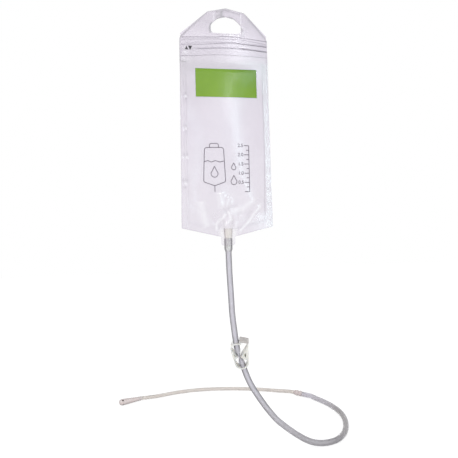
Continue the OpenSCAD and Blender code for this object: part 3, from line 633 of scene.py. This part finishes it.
def make_label():
    """The green block, darker along its outline, with painted shade towards its upper right corner."""
    left, right, low, high = LABEL
    across, up = 130, 60
    x, z = (a.ravel() for a in np.meshgrid(np.linspace(left, right, across), np.linspace(high, low, up)))
    piece = mesh_piece("green_block", on_front(x, z, LABEL_LIFT), grid_faces(up, across))
    # painted shade towards the upper right corner
    corner = ease(-20, right, x) * (0.12 + 0.38 * ease(low, high, z))
    paint(piece, "shade", 0.55 * np.exp(-(inside_label(x, z) / 0.9) ** 2) + corner)
    return piece


def ink_lines(name, lines, widths, lift):
    """Thin ribbons on the front film, each as wide as its first and last width say."""
    points, faces = [], []
    for line, (first, last) in zip(lines, widths):
        line = np.array(line, float)
        count = max(2, int(lengths_along(line)[-1] / INK_STEP) + 1)
        track = even_track(line, count)
        heading = np.gradient(track, axis=0)
        heading /= np.maximum(1e-9, np.linalg.norm(heading, axis=1))[:, None]
        wide = np.linspace(first, last, count)[:, None]
        across = np.column_stack([-heading[:, 1], heading[:, 0]]) * wide / 2
        start = len(points)
        for p, q in zip(track + across, track - across):
            points += [p, q]
        faces += [(i, i + 1, i + 3, i + 2) for i in range(start, start + 2 * (count - 1), 2)]
    points = np.array(points)
    return mesh_piece(name, on_front(points[:, 0], points[:, 1], lift), faces)


def drop_outline(x, z, r):
    """A drop: a round of radius r with a peak above it."""
    peak = (x, z + 2.1 * r)
    body = [(x + r * math.cos(t), z - r * math.sin(t)) for t in np.radians(np.arange(-50, 231, 10))]
    return [peak] + body[::-1] + [peak]


def fill_scale():
    """The scale's line and marks, with a pouch outline and drops beside it."""
    lines = [[(SCALE_X, SCALE_TOP), (SCALE_X, SCALE_TOP - MARK_STEP * (MARKS - 1))]]
    for k in range(MARKS):
        z = SCALE_TOP - MARK_STEP * k
        lines.append([(SCALE_X, z), (SCALE_X - (10 if k % 2 == 0 else 5.5), z)])
    pouch = rounded([(-50, -262, 5), (-12, -262, 5), (-9, -330, 4), (-31, -338, 4), (-53, -330, 4)])
    lines.append(np.vstack([pouch, pouch[:1]]))
    lines.append(rounded([(-40, -262.5, 0), (-40, -254, 4), (-22, -254, 4), (-22, -262.5, 0)]))
    lines.append([(-51.5, -290), (-44, -288), (-37, -291), (-29, -288), (-20, -291), (-10.5, -288.5)])
    lines.append([(-31, -338.5), (-31, -350)])
    for drop in ((-31, -314, 7), (8, -330, 6), (8, -302, 4.5)):
        lines.append(drop_outline(*drop))
    return ink_lines("fill_scale", lines, [(INK_WIDTH, INK_WIDTH)] * len(lines), INK_LIFT)


def scale_numbers():
    """Litres beside the long marks of the fill scale, written flat and laid on the film."""
    made = []
    for k, words in enumerate(LITRES):
        bpy.ops.object.select_all(action="DESELECT")
        bpy.ops.object.text_add(location=(0, 0, 0))
        written = bpy.context.active_object
        written.data.body = words
        written.data.size = 9.5 * MM
        written.data.offset = 0.14 * MM
        written.data.align_x, written.data.align_y = "RIGHT", "CENTER"
        bpy.ops.object.convert(target="MESH")
        written = bpy.context.active_object
        flat = np.array([v.co for v in written.data.vertices]) / MM
        x, z = SCALE_X - 11.5 + flat[:, 0], SCALE_TOP - 2 * MARK_STEP * k + flat[:, 1]
        written.data.vertices.foreach_set("co", (on_front(x, z, INK_LIFT) * MM).ravel())
        made.append(written)
    bpy.ops.object.select_all(action="DESELECT")
    for written in made:
        written.select_set(True)
    bpy.context.view_layer.objects.active = made[0]
    bpy.ops.object.join()
    made[0].name = "scale_numbers"
    return made[0]


def opening_mark():
    """Two small arrowheads in the zip band, which show where the mouth is pulled open."""
    height = -64.8
    points, faces = [], []
    for x, turn, size in ((-80.6, -1, 3.3), (-73.4, 1, 4.0)):
        start = len(points)
        base = height + size * turn
        points += [(x - size, base), (x + size, base), (x, height - 1.2 * size * turn)]
        faces.append((start, start + 1, start + 2) if turn < 0 else (start + 2, start + 1, start))
    points = np.array(points)
    return mesh_piece("opening_mark", on_front(points[:, 0], points[:, 1], INK_LIFT), faces, smooth=False)


label, scale_ink, numbers, mark = make_label(), fill_scale(), scale_numbers(), opening_mark()
for piece in (label, scale_ink, numbers):
    belongs(piece, "drencher")
belongs(mark, "mouth_lip")


# Zip: two thin tapes, the front one with tongues and the rear one with the channels they press into

# The tapes' ends, their distance from the middle, the heights of their two tracks, and points along them
TAPE_LEFT, TAPE_RIGHT, TAPE_Y, TRACKS, TAPE_POINTS = -91.5, 81.5, 1.1, (-51.25, -61.75), 70
# The painted shadow lines' width at their left and right end
SHADE_LINE_WIDTHS = [(1.1, 0.9), (0.5, 0.5), (0.3, 1.7), (0.6, 2.0), (0.7, 0.6)]


def zip_profile(side):
    """A tape's profile from top to bottom: height, distance from the middle and painted shade."""
    profile = [(-41.0, TAPE_Y, 0.6), (-41.5, TAPE_Y, 0.1)]
    for track in TRACKS:
        if side < 0:
            profile += [(track + 2.2, TAPE_Y, 0), (track + 0.75, TAPE_Y, 0.5), (track + 0.55, -0.4, 1),
                        (track, -0.5, 0.6), (track - 0.55, -0.4, 1), (track - 0.75, TAPE_Y, 0.5),
                        (track - 2.2, TAPE_Y, 0)]
        else:
            profile += [(track + 2.6, TAPE_Y, 0)]
            for wall in (track + 1.3, track - 1.3):
                profile += [(wall + 0.45, TAPE_Y, 0.5), (wall + 0.3, -0.3, 1), (wall - 0.3, -0.3, 1),
                            (wall - 0.45, TAPE_Y, 0.5)]
            profile += [(track - 2.6, TAPE_Y, 0)]
    return profile + [(-68.5, TAPE_Y, 0), (-74.5, TAPE_Y, 0.1), (-75.0, TAPE_Y, 0.6)]


def zip_tape(name, side):
    """One tape: side -1 is the front one with tongues, 1 the rear one with channels."""
    profile = zip_profile(side)
    n = len(profile)
    across = np.linspace(TAPE_LEFT, TAPE_RIGHT, TAPE_POINTS)
    points = [(x, side * y, z - zip_droop(x)) for x in across for z, y, _ in profile]
    faces = grid_faces(TAPE_POINTS, n)
    piece = mesh_piece(name, points, [f[::-1] for f in faces] if side < 0 else faces)
    shade = np.tile([dark for _, _, dark in profile], TAPE_POINTS)
    ends = np.repeat(1 - ease(0, 3, np.minimum(across - TAPE_LEFT, TAPE_RIGHT - across)), n)
    # painted shade at the walls of the tongues and channels, stronger towards the right
    painted_shade_rightward = np.repeat(0.55 + 0.45 * ease(10, 60, across), n)
    paint(piece, "veil", np.clip(0.09 + 0.4 * shade * painted_shade_rightward + 0.2 * ends, 0, 1))
    paint(piece, "shade", np.clip(0.1 + shade * painted_shade_rightward, 0, 1))
    paint(piece, "painted_highlight", np.zeros(len(shade)))
    return piece


# dark ribbons along the zip's lines, as painted shadow of its tracks
shade_line_paths = [line for line, *_ in ZIP_TRACKS[:len(SHADE_LINE_WIDTHS)]]
zip_shade_lines = ink_lines("zip_shadow_lines", shade_line_paths, SHADE_LINE_WIDTHS, SHADE_LINE_LIFT)
belongs(zip_shade_lines, "mouth_lip")
rib_tape = zip_tape("zip_rib_tape", -1)
belongs(rib_tape, "mouth_lip", ["zip_rib_strip"])
groove_tape = zip_tape("zip_groove_tape", 1)
belongs(groove_tape, "drencher", ["zip_groove_strip"])


# Moulded pieces: turned fittings, and the clamp with its edges rounded

def pick(piece):
    """Selects one piece alone."""
    bpy.ops.object.select_all(action="DESELECT")
    piece.select_set(True)
    bpy.context.view_layer.objects.active = piece


def apply_all(piece):
    """Applies a piece's modifiers in turn."""
    bpy.context.view_layer.objects.active = piece
    for held in list(piece.modifiers):
        bpy.ops.object.modifier_apply(modifier=held.name)


def round_off(piece, width, sharper_than):
    """Rounds each edge that is sharper than so many degrees."""
    edges = piece.modifiers.new("round_edges", "BEVEL")
    edges.width = width * MM
    edges.segments = 2
    edges.limit_method = "ANGLE"
    edges.angle_limit = math.radians(sharper_than)
    apply_all(piece)


def set_down(piece, place, stand):
    """Turns a piece and puts it in its place, with both in its mesh."""
    piece.matrix_world = Matrix.Translation(Vector(place) * MM) @ stand
    pick(piece)
    bpy.ops.object.transform_apply(location=True, rotation=True, scale=True)
    bpy.ops.object.shade_smooth_by_angle(angle=math.radians(32))


def turned(name, profile, place, stand, soften):
    """A round piece: a ring extruded along the (radius, height) points of its profile, back to the first."""
    bpy.ops.object.select_all(action="DESELECT")
    first_r, first_h = profile[0]
    bpy.ops.mesh.primitive_circle_add(vertices=48, radius=first_r * MM, location=(0, 0, first_h * MM))
    piece = bpy.context.active_object
    piece.name = piece.data.name = name
    bpy.ops.object.transform_apply(location=True, rotation=True, scale=True)
    bpy.ops.object.mode_set(mode="EDIT")
    bpy.ops.mesh.select_all(action="SELECT")
    for (r0, h0), (r1, h1) in zip(profile, profile[1:] + profile[:1]):
        bpy.ops.mesh.extrude_region_move(TRANSFORM_OT_translate={"value": (0, 0, (h1 - h0) * MM)})
        if r1 != r0:
            bpy.ops.transform.resize(value=(r1 / r0, r1 / r0, 1), center_override=(0, 0, h1 * MM))
    bpy.ops.mesh.select_all(action="SELECT")
    bpy.ops.mesh.remove_doubles(threshold=0.00001)
    bpy.ops.mesh.normals_make_consistent(inside=False)
    bpy.ops.object.mode_set(mode="OBJECT")
    if soften:
        round_off(piece, soften, 35)
    set_down(piece, place, stand)
    return piece


def lying(turn):
    """The stand of a piece that lies on the surface, turned so many degrees on it."""
    return Matrix.Rotation(math.radians(turn), 4, "Z") @ Matrix.Rotation(math.radians(90), 4, "Y")


def make_outlet():
    """The outlet, with barbs below that hold the hose."""
    bore, core, barb, barbs, step, foot, top = 4, 5.5, 6.2, 4, 5, -20, 20
    profile = [(bore, foot), (bore, top), (7.6, top), (8.4, top - 0.8), (8.4, 12), (7.3, 0.4), (7.3, 0),
               (core, 0)]
    for k in range(barbs):
        heel = -(k + 0.9) * step
        profile += [(core, -k * step - 0.01), (barb, heel + 0.75), (barb, heel), (core, heel - 0.01)]
    profile += [(core, foot)]
    return turned("outlet_fitting", profile, (-5, 0, -443), Matrix.Identity(4), 0.12)


def make_coupler():
    """The coupler: a socket for the probe tube, two collars, and a barb for the hose."""
    half, deep, bore, socket, body, collar = 13, 11, 2.4, 4.55, 5.9, 7
    profile = [(bore, -half - deep), (bore, half - deep), (socket, half - deep), (socket, half), (5.6, half),
               (body, half - 0.4), (body, half - 5), (collar, half - 6.5), (collar, half - 9),
               (body, half - 10.5), (body, 10.5 - half), (collar, 9 - half), (collar, 6.5 - half),
               (body, 5 - half), (body, 0.4 - half), (5.6, -half), (3.22, -half), (3.6, -half - deep * 0.7),
               (3.0, -half - deep)]
    return turned("probe_coupler", profile, (236, 306, -852), lying(122), 0.2)


def make_tip():
    """The bulb tip, drilled with eyes round its nose."""
    r, length, neck, straight, socket, deep, bore, chamber = 7.75, 60.0, 5.2, 4, 4.55, 11, 3, 4.25
    eyes, eye_r, eye_deep, eye_out = 4, 2.5, 8, 6.9
    nose = length - r
    profile = [(socket, 0), (socket, deep), (bore, deep), (bore, nose - chamber), (chamber, nose - chamber),
               (chamber, nose + 4.0), (0.02, nose + chamber), (0.02, nose + r)]
    profile += [(r * math.cos(a), nose + r * math.sin(a)) for a in map(math.radians, range(84, 0, -12))]
    for f in np.linspace(1, 0, 9):
        profile.append((neck + (r - neck) * float(ease(0, 1, f)), straight + (nose - straight) * f))
    profile += [(neck, 0.4), (neck - 0.3, 0)]
    piece = turned("bulb_tip", profile, (0, 0, 0), Matrix.Identity(4), 0)
    for k in range(eyes):
        bpy.ops.object.select_all(action="DESELECT")
        bpy.ops.mesh.primitive_cylinder_add(vertices=24, radius=eye_r * MM, depth=eye_deep * MM)
        drill = bpy.context.active_object
        drill.matrix_world = (Matrix.Translation(Vector((0, 0, nose * MM)))
                              @ Matrix.Rotation(math.radians(45 + 360 / eyes * k), 4, "Z")
                              @ Matrix.Translation(Vector((eye_out * MM, 0, 0)))
                              @ Matrix.Rotation(math.radians(90), 4, "Y"))
        eye = piece.modifiers.new("eye", "BOOLEAN")
        eye.operation, eye.solver, eye.object = "DIFFERENCE", "EXACT", drill
        apply_all(piece)
        bpy.data.objects.remove(drill)
    set_down(piece, (-164, 373, -851.25), lying(204))
    return piece


def moulded(name, cad_node, soften):
    """A moulding with softly rounded edges, on the form of its solid."""
    piece = bpy.data.objects.new(name, nodes[cad_node].data.copy())
    piece.data.name = name
    scene.collection.objects.link(piece)
    pick(piece)
    bpy.ops.object.mode_set(mode="EDIT")
    bpy.ops.mesh.select_all(action="SELECT")
    bpy.ops.mesh.customdata_custom_splitnormals_clear()
    bpy.ops.mesh.remove_doubles(threshold=0.000005)
    bpy.ops.mesh.dissolve_limited(angle_limit=math.radians(1))
    bpy.ops.object.mode_set(mode="OBJECT")
    round_off(piece, soften, 38)
    bpy.ops.object.shade_smooth_by_angle(angle=math.radians(35))
    return piece


outlet, coupler, bulb = make_outlet(), make_coupler(), make_tip()
belongs(outlet, "drencher", ["port_connector"])
belongs(coupler, "drencher", ["coupler"])
belongs(bulb, "drencher", ["probe_tip"])
clamp_parts = []
for cad_node, body, soften in (("clamp_body", "drencher", 0.35), ("clamp_lever", "clamp_lever", 0.35),
                               ("clamp_latch", "clamp_latch", 0.15)):
    clamp_parts.append(moulded(cad_node + "_moulding", cad_node, soften))
    belongs(clamp_parts[-1], body, [cad_node])


# Materials

def material(name):
    """A new material, its tree and its shader."""
    made = bpy.data.materials.new(name)
    made.use_nodes = True
    tree = made.node_tree
    return made, tree, tree.nodes["Principled BSDF"]


def put_on(piece, made):
    """Gives a piece one material."""
    piece.data.materials.clear()
    piece.data.materials.append(made)


def node(tree, kind, **inputs):
    """A new node with values on its inputs."""
    made = tree.nodes.new(kind)
    for key, value in inputs.items():
        made.inputs[key].default_value = value
    return made


def cloud_group():
    """Soft clouding of a colour and a roughness, with a fine grain for the bump."""
    group = bpy.data.node_groups.new("soft_cloud", "ShaderNodeTree")
    colour, number = "NodeSocketColor", "NodeSocketFloat"
    for name, kind, value in (("Light", colour, (0.8, 0.8, 0.8, 1)), ("Dark", colour, (0.7, 0.7, 0.7, 1)),
                              ("Cloud Size", number, 30.0), ("Grain Size", number, 300.0),
                              ("Smooth", number, 0.25), ("Rough", number, 0.4)):
        group.interface.new_socket(name, in_out="INPUT", socket_type=kind).default_value = value
    for name, kind in (("Colour", colour), ("Roughness", number), ("Grain", number)):
        group.interface.new_socket(name, in_out="OUTPUT", socket_type=kind)
    given, out = group.nodes.new("NodeGroupInput"), group.nodes.new("NodeGroupOutput")
    place = group.nodes.new("ShaderNodeTexCoord")
    cloud = node(group, "ShaderNodeTexNoise", Detail=4.0, Roughness=0.55)
    grain = node(group, "ShaderNodeTexNoise", Detail=2.0)
    for noise, size in ((cloud, "Cloud Size"), (grain, "Grain Size")):
        group.links.new(place.outputs["Object"], noise.inputs["Vector"])
        group.links.new(given.outputs[size], noise.inputs["Scale"])
    spread = node(group, "ShaderNodeMapRange")
    for key, value in (("From Min", 0.3), ("From Max", 0.7)):
        spread.inputs[key].default_value = value
    group.links.new(cloud.outputs["Fac"], spread.inputs["Value"])
    tint = node(group, "ShaderNodeMix")
    tint.data_type = "RGBA"
    group.links.new(spread.outputs["Result"], tint.inputs["Factor"])
    group.links.new(given.outputs["Light"], tint.inputs["A"])
    group.links.new(given.outputs["Dark"], tint.inputs["B"])
    gloss = node(group, "ShaderNodeMapRange")
    group.links.new(cloud.outputs["Fac"], gloss.inputs["Value"])
    group.links.new(given.outputs["Smooth"], gloss.inputs["To Min"])
    group.links.new(given.outputs["Rough"], gloss.inputs["To Max"])
    group.links.new(tint.outputs["Result"], out.inputs["Colour"])
    group.links.new(gloss.outputs["Result"], out.inputs["Roughness"])
    group.links.new(grain.outputs["Fac"], out.inputs["Grain"])
    return group


soft_cloud = cloud_group()


def clouded(name, light, dark, smooth, rough, cloud=30.0, grain=300.0, bump=0.1, depth=0.0002, **sockets):
    """A finish with the shared clouding: returns the material, its tree, its shader and the clouding."""
    made, tree, skin = material(name)
    for key, value in sockets.items():
        skin.inputs[key.replace("_", " ")].default_value = value
    haze = tree.nodes.new("ShaderNodeGroup")
    haze.node_tree = soft_cloud
    for key, value in (("Light", (*light, 1)), ("Dark", (*dark, 1)), ("Cloud Size", cloud),
                       ("Grain Size", grain), ("Smooth", smooth), ("Rough", rough)):
        haze.inputs[key].default_value = value
    tree.links.new(haze.outputs["Colour"], skin.inputs["Base Color"])
    tree.links.new(haze.outputs["Roughness"], skin.inputs["Roughness"])
    raised = node(tree, "ShaderNodeBump", Strength=bump, Distance=depth)
    tree.links.new(haze.outputs["Grain"], raised.inputs["Height"])
    tree.links.new(raised.outputs["Normal"], skin.inputs["Normal"])
    return made, tree, skin, haze


def attribute(tree, name):
    """A value that was painted on the piece."""
    layer = tree.nodes.new("ShaderNodeAttribute")
    layer.attribute_name = name
    return layer.outputs["Fac"]


def tinted(tree, skin, colour, tones):
    """Mixes each (tone, factor) into a colour in turn, and gives the result to the shader."""
    for tone, factor in tones:
        tint = node(tree, "ShaderNodeMix")
        tint.data_type = "RGBA"
        tint.inputs["B"].default_value = (*tone, 1)
        tree.links.new(factor, tint.inputs["Factor"])
        tree.links.new(colour, tint.inputs["A"])
        colour = tint.outputs["Result"]
    tree.links.new(colour, skin.inputs["Base Color"])


def film_finish(name, light, dark, edge):
    """Clear film: how dense it is, its painted shade and its painted highlights at each point come from the
    sheet's own attributes.
    """
    made, tree, skin, haze = clouded(name, light, dark, 0.26, 0.36, cloud=24.0, grain=70.0, bump=0.08,
                                     depth=0.0006, IOR=1.45, Coat_Weight=1.0, Coat_Roughness=0.16,
                                     Coat_IOR=1.8)
    # the near white of the painted highlights on folds and seam dimples
    highlight_white = (0.97, 0.965, 0.985)
    tinted(tree, skin, haze.outputs["Colour"],
           [(edge, attribute(tree, "shade")), (highlight_white, attribute(tree, "painted_highlight"))])
    tree.links.new(attribute(tree, "veil"), skin.inputs["Alpha"])
    return made


def edge_on(tree, start, end, most=1.0):
    """How far a wall is seen edge on: from 0 where it faces the viewer to most at the sides."""
    facing = node(tree, "ShaderNodeLayerWeight", Blend=0.5)
    spread = node(tree, "ShaderNodeMapRange")
    for key, value in (("From Min", start), ("From Max", end), ("To Max", most)):
        spread.inputs[key].default_value = value
    tree.links.new(facing.outputs["Facing"], spread.inputs["Value"])
    return spread.outputs["Result"]


def darker_rims(tree, skin, haze, pale, painted_loop_shade, rim):
    """A clear tube: painted shade at its sides, where the wall is seen edge on, painted shade along its loop,
    and paler, partly as painted light, where it is stretched.
    """
    share = node(tree, "ShaderNodeMath")
    share.operation = "MULTIPLY"
    tree.links.new(edge_on(tree, 0.12, 0.52), share.inputs[0])
    tree.links.new(attribute(tree, "rims"), share.inputs[1])
    tinted(tree, skin, haze.outputs["Colour"],
           [(pale, attribute(tree, "stretched")), (painted_loop_shade, attribute(tree, "painted_loop_shade")), (rim, share.outputs[0])])


def soaked(made, tree, colour, density):
    """Gives a clear plastic its depth of colour: thick walls are darker than thin ones."""
    soak = node(tree, "ShaderNodeVolumeAbsorption", Density=density)
    soak.inputs["Color"].default_value = (*colour, 1)
    tree.links.new(soak.outputs["Volume"], tree.nodes["Material Output"].inputs["Volume"])
    return made


def waxy_plastic(name, light, dark, smooth, rough, painted_side_shade):
    """The probe's moulded ends: a little light passes in, and painted shade darkens their sides, by viewing
    angle.
    """
    made, tree, skin, haze = clouded(name, light, dark, smooth, rough, cloud=90.0, Subsurface_Weight=0.4,
                                     Subsurface_Radius=(1.0, 0.9, 0.85), Subsurface_Scale=0.003)
    tinted(tree, skin, haze.outputs["Colour"], [((0.42, 0.36, 0.35), edge_on(tree, 0.15, 0.6, painted_side_shade))])
    return made


def green_print():
    """The label's ink, darker where its shade attribute says: along its outline, and as painted shade towards
    the upper right.
    """
    made, tree, skin, haze = clouded("green_print", (0.188, 0.35, 0.004), (0.152, 0.303, 0.003), 0.4, 0.5,
                                     cloud=14.0, Alpha=0.97, Coat_Weight=0.4, Coat_Roughness=0.12,
                                     Specular_IOR_Level=0.2)
    tinted(tree, skin, haze.outputs["Colour"], [((0.055, 0.15, 0.008), attribute(tree, "shade"))])
    return made


def hose_plastic():
    """Soft clear plastic, a little grey in its depth."""
    made, tree, skin, haze = clouded("soft_clear_hose", (0.94, 0.925, 0.965), (0.91, 0.895, 0.935), 0.3, 0.4,
                                     cloud=60.0, bump=0.03, Transmission_Weight=0.65, IOR=1.13,
                                     Coat_Weight=0.6, Coat_Roughness=0.12)
    # a near white for the paler end, partly painted light, then the painted shade of the loop and of the
    # sides
    darker_rims(tree, skin, haze, (0.99, 0.985, 0.98), (0.2, 0.172, 0.125), (0.2, 0.19, 0.205))
    return soaked(made, tree, (0.50, 0.47, 0.55), 90.0)


def probe_plastic():
    """Stiff beige plastic that light passes through."""
    made, tree, _, _ = clouded("beige_probe", (0.95, 0.93, 0.91), (0.93, 0.905, 0.88), 0.28, 0.36,
                               cloud=30.0, bump=0.01, Transmission_Weight=0.8, IOR=1.2)
    return soaked(made, tree, (0.62, 0.55, 0.50), 150.0)


# the last colour of each film finish is the dark tone that its painted shade mixes in
clear_film = film_finish("clear_film", (0.686, 0.612, 0.712), (0.641, 0.568, 0.667), (0.28, 0.262, 0.29))
put_on(front_sheet, clear_film)
put_on(rear_sheet, clear_film)
zip_clear = film_finish("zip_tape_clear", (0.70, 0.66, 0.75), (0.66, 0.62, 0.71), (0.30, 0.27, 0.32))
put_on(rib_tape, zip_clear)
put_on(groove_tape, zip_clear)
# the dark grey of the zip's painted shadow lines
put_on(zip_shade_lines, clouded("zip_line_painted_shade", (0.20, 0.175, 0.215), (0.27, 0.24, 0.28), 0.3, 0.45, cloud=120.0,
                       Alpha=0.72)[0])
put_on(label, green_print())
ink = clouded("grey_ink", (0.10, 0.08, 0.11), (0.16, 0.135, 0.17), 0.45, 0.6, cloud=160.0, Alpha=0.92)[0]
put_on(scale_ink, ink)
put_on(numbers, ink)
put_on(mark, clouded("dark_ink", (0.03, 0.028, 0.034), (0.06, 0.055, 0.065), 0.45, 0.6, cloud=160.0)[0])
put_on(soft_hose, hose_plastic())
put_on(probe_line, probe_plastic())
put_on(bulb, waxy_plastic("beige_plastic", (0.77, 0.69, 0.67), (0.69, 0.61, 0.59), 0.2, 0.32, 0.8))
put_on(coupler, waxy_plastic("pink_coupler", (0.71, 0.625, 0.61), (0.645, 0.56, 0.55), 0.25, 0.36, 0.6))
put_on(outlet, clouded("ivory_outlet", (0.95, 0.92, 0.86), (0.91, 0.875, 0.80), 0.25, 0.4, cloud=90.0,
                       Transmission_Weight=0.15, IOR=1.35)[0])
natural = clouded("natural_plastic", (0.93, 0.92, 0.87), (0.88, 0.87, 0.81), 0.25, 0.4, cloud=110.0,
                  Transmission_Weight=0.2, IOR=1.3, Subsurface_Weight=0.5,
                  Subsurface_Radius=(1.0, 0.95, 0.85), Subsurface_Scale=0.003)[0]
# the latch is the clamp's own plastic, drawn darker grey as painted shade
latch_painted_shade = clouded("latch_shaded_plastic", (0.57, 0.54, 0.52), (0.47, 0.445, 0.43), 0.3, 0.45, cloud=140.0,
                  Subsurface_Weight=0.4, Subsurface_Radius=(1.0, 0.95, 0.9), Subsurface_Scale=0.002)[0]
for part, finish in zip(clamp_parts, (natural, natural, latch_painted_shade)):
    put_on(part, finish)


# Floor, world and lamps

def seen(tree):
    """1 for what is seen straight, mirrored or through clear plastic, and 0 for light cast on things."""
    path = tree.nodes.new("ShaderNodeLightPath")
    shown = path.outputs["Is Camera Ray"]
    for kind in ("Is Glossy Ray", "Is Transmission Ray"):
        either = node(tree, "ShaderNodeMath")
        either.operation = "MAXIMUM"
        tree.links.new(shown, either.inputs[0])
        tree.links.new(path.outputs[kind], either.inputs[1])
        shown = either.outputs[0]
    return shown


def two_looks(tree, cast, shown, output):
    """One shader for the light that is cast on things, another for what is seen."""
    both = tree.nodes.new("ShaderNodeMixShader")
    tree.links.new(seen(tree), both.inputs[0])
    tree.links.new(cast.outputs[0], both.inputs[1])
    tree.links.new(shown.outputs[0], both.inputs[2])
    tree.links.new(both.outputs[0], tree.nodes[output].inputs["Surface"])


def grey(tree, kind, level, **inputs):
    """A shader of one grey, from 0, black, to 1, white."""
    made = node(tree, kind, **inputs)
    made.inputs["Color"].default_value = (level, level, level, 1)
    return made


def white_floor():
    """A pale floor that keeps the object's shadow."""
    bpy.ops.object.select_all(action="DESELECT")
    bpy.ops.mesh.primitive_plane_add(size=8, location=(0, 1, -0.8593))
    floor = bpy.context.active_object
    floor.name = "floor"
    made, tree, skin = material("pale_floor")
    tree.nodes.remove(skin)
    bright = tree.nodes.new("ShaderNodeAddShader")
    tree.links.new(grey(tree, "ShaderNodeBsdfDiffuse", 0.32).outputs[0], bright.inputs[0])
    tree.links.new(node(tree, "ShaderNodeEmission", Strength=0.80).outputs[0], bright.inputs[1])
    two_looks(tree, grey(tree, "ShaderNodeBsdfDiffuse", 0.85), bright, "Material Output")
    put_on(floor, made)


def white_world():
    """A white surrounding with soft light."""
    world = bpy.data.worlds.new("studio")
    world.use_nodes = True
    scene.world = world
    tree = world.node_tree
    soft = tree.nodes["Background"]
    soft.inputs["Color"].default_value = (0.98, 0.98, 1.0, 1)
    soft.inputs["Strength"].default_value = 0.82
    two_looks(tree, soft, grey(tree, "ShaderNodeBackground", 1, Strength=1.0), "World Output")


def lamp(name, place, aim, wide, high, watts, lean=0, colour=(1, 1, 1)):
    """A flat lamp that faces a point, leaning so many degrees."""
    light = bpy.data.lights.new(name, "AREA")
    light.shape = "RECTANGLE"
    light.size, light.size_y, light.energy, light.color = wide, high, watts, colour
    held = bpy.data.objects.new(name, light)
    held.location = place
    held.rotation_euler = ((Vector(aim) - Vector(place)).to_track_quat("-Z", "Y").to_matrix()
                           @ Matrix.Rotation(math.radians(lean), 3, "Z")).to_euler()
    scene.collection.objects.link(held)


white_floor()
white_world()
lamp("key_softbox", (-0.9, -1.3, 0.6), (0, 0, -0.35), 0.6, 0.8, 8.8, colour=(1.0, 0.96, 0.985))
lamp("panel_high", (0.16, -1.4, 0.45), (0.0, 0, -0.05), 0.33, 0.3, 0.36)
lamp("panel_low", (0.16, -1.4, 0.16), (0.0, 0, -0.12), 0.33, 0.28, 0.14)
lamp("strip_high", (0.35, -1.4, 0.365), (0.02, 0, -0.08), 0.03, 0.15, 0.3, lean=-6, colour=(0.93, 0.96, 1.0))
lamp("strip_low", (0.486, -1.39, -0.15), (0.03, 0, -0.26), 0.09, 0.94, 1.85, lean=9.7,
     colour=(0.74, 1.0, 1.0))
lamp("strip_side", (0.607, -1.36, -0.22), (0.03, 0, -0.3), 0.16, 0.74, 0.2, lean=9.7, colour=(0.68, 1.0, 1.0))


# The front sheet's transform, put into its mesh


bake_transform(front_sheet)
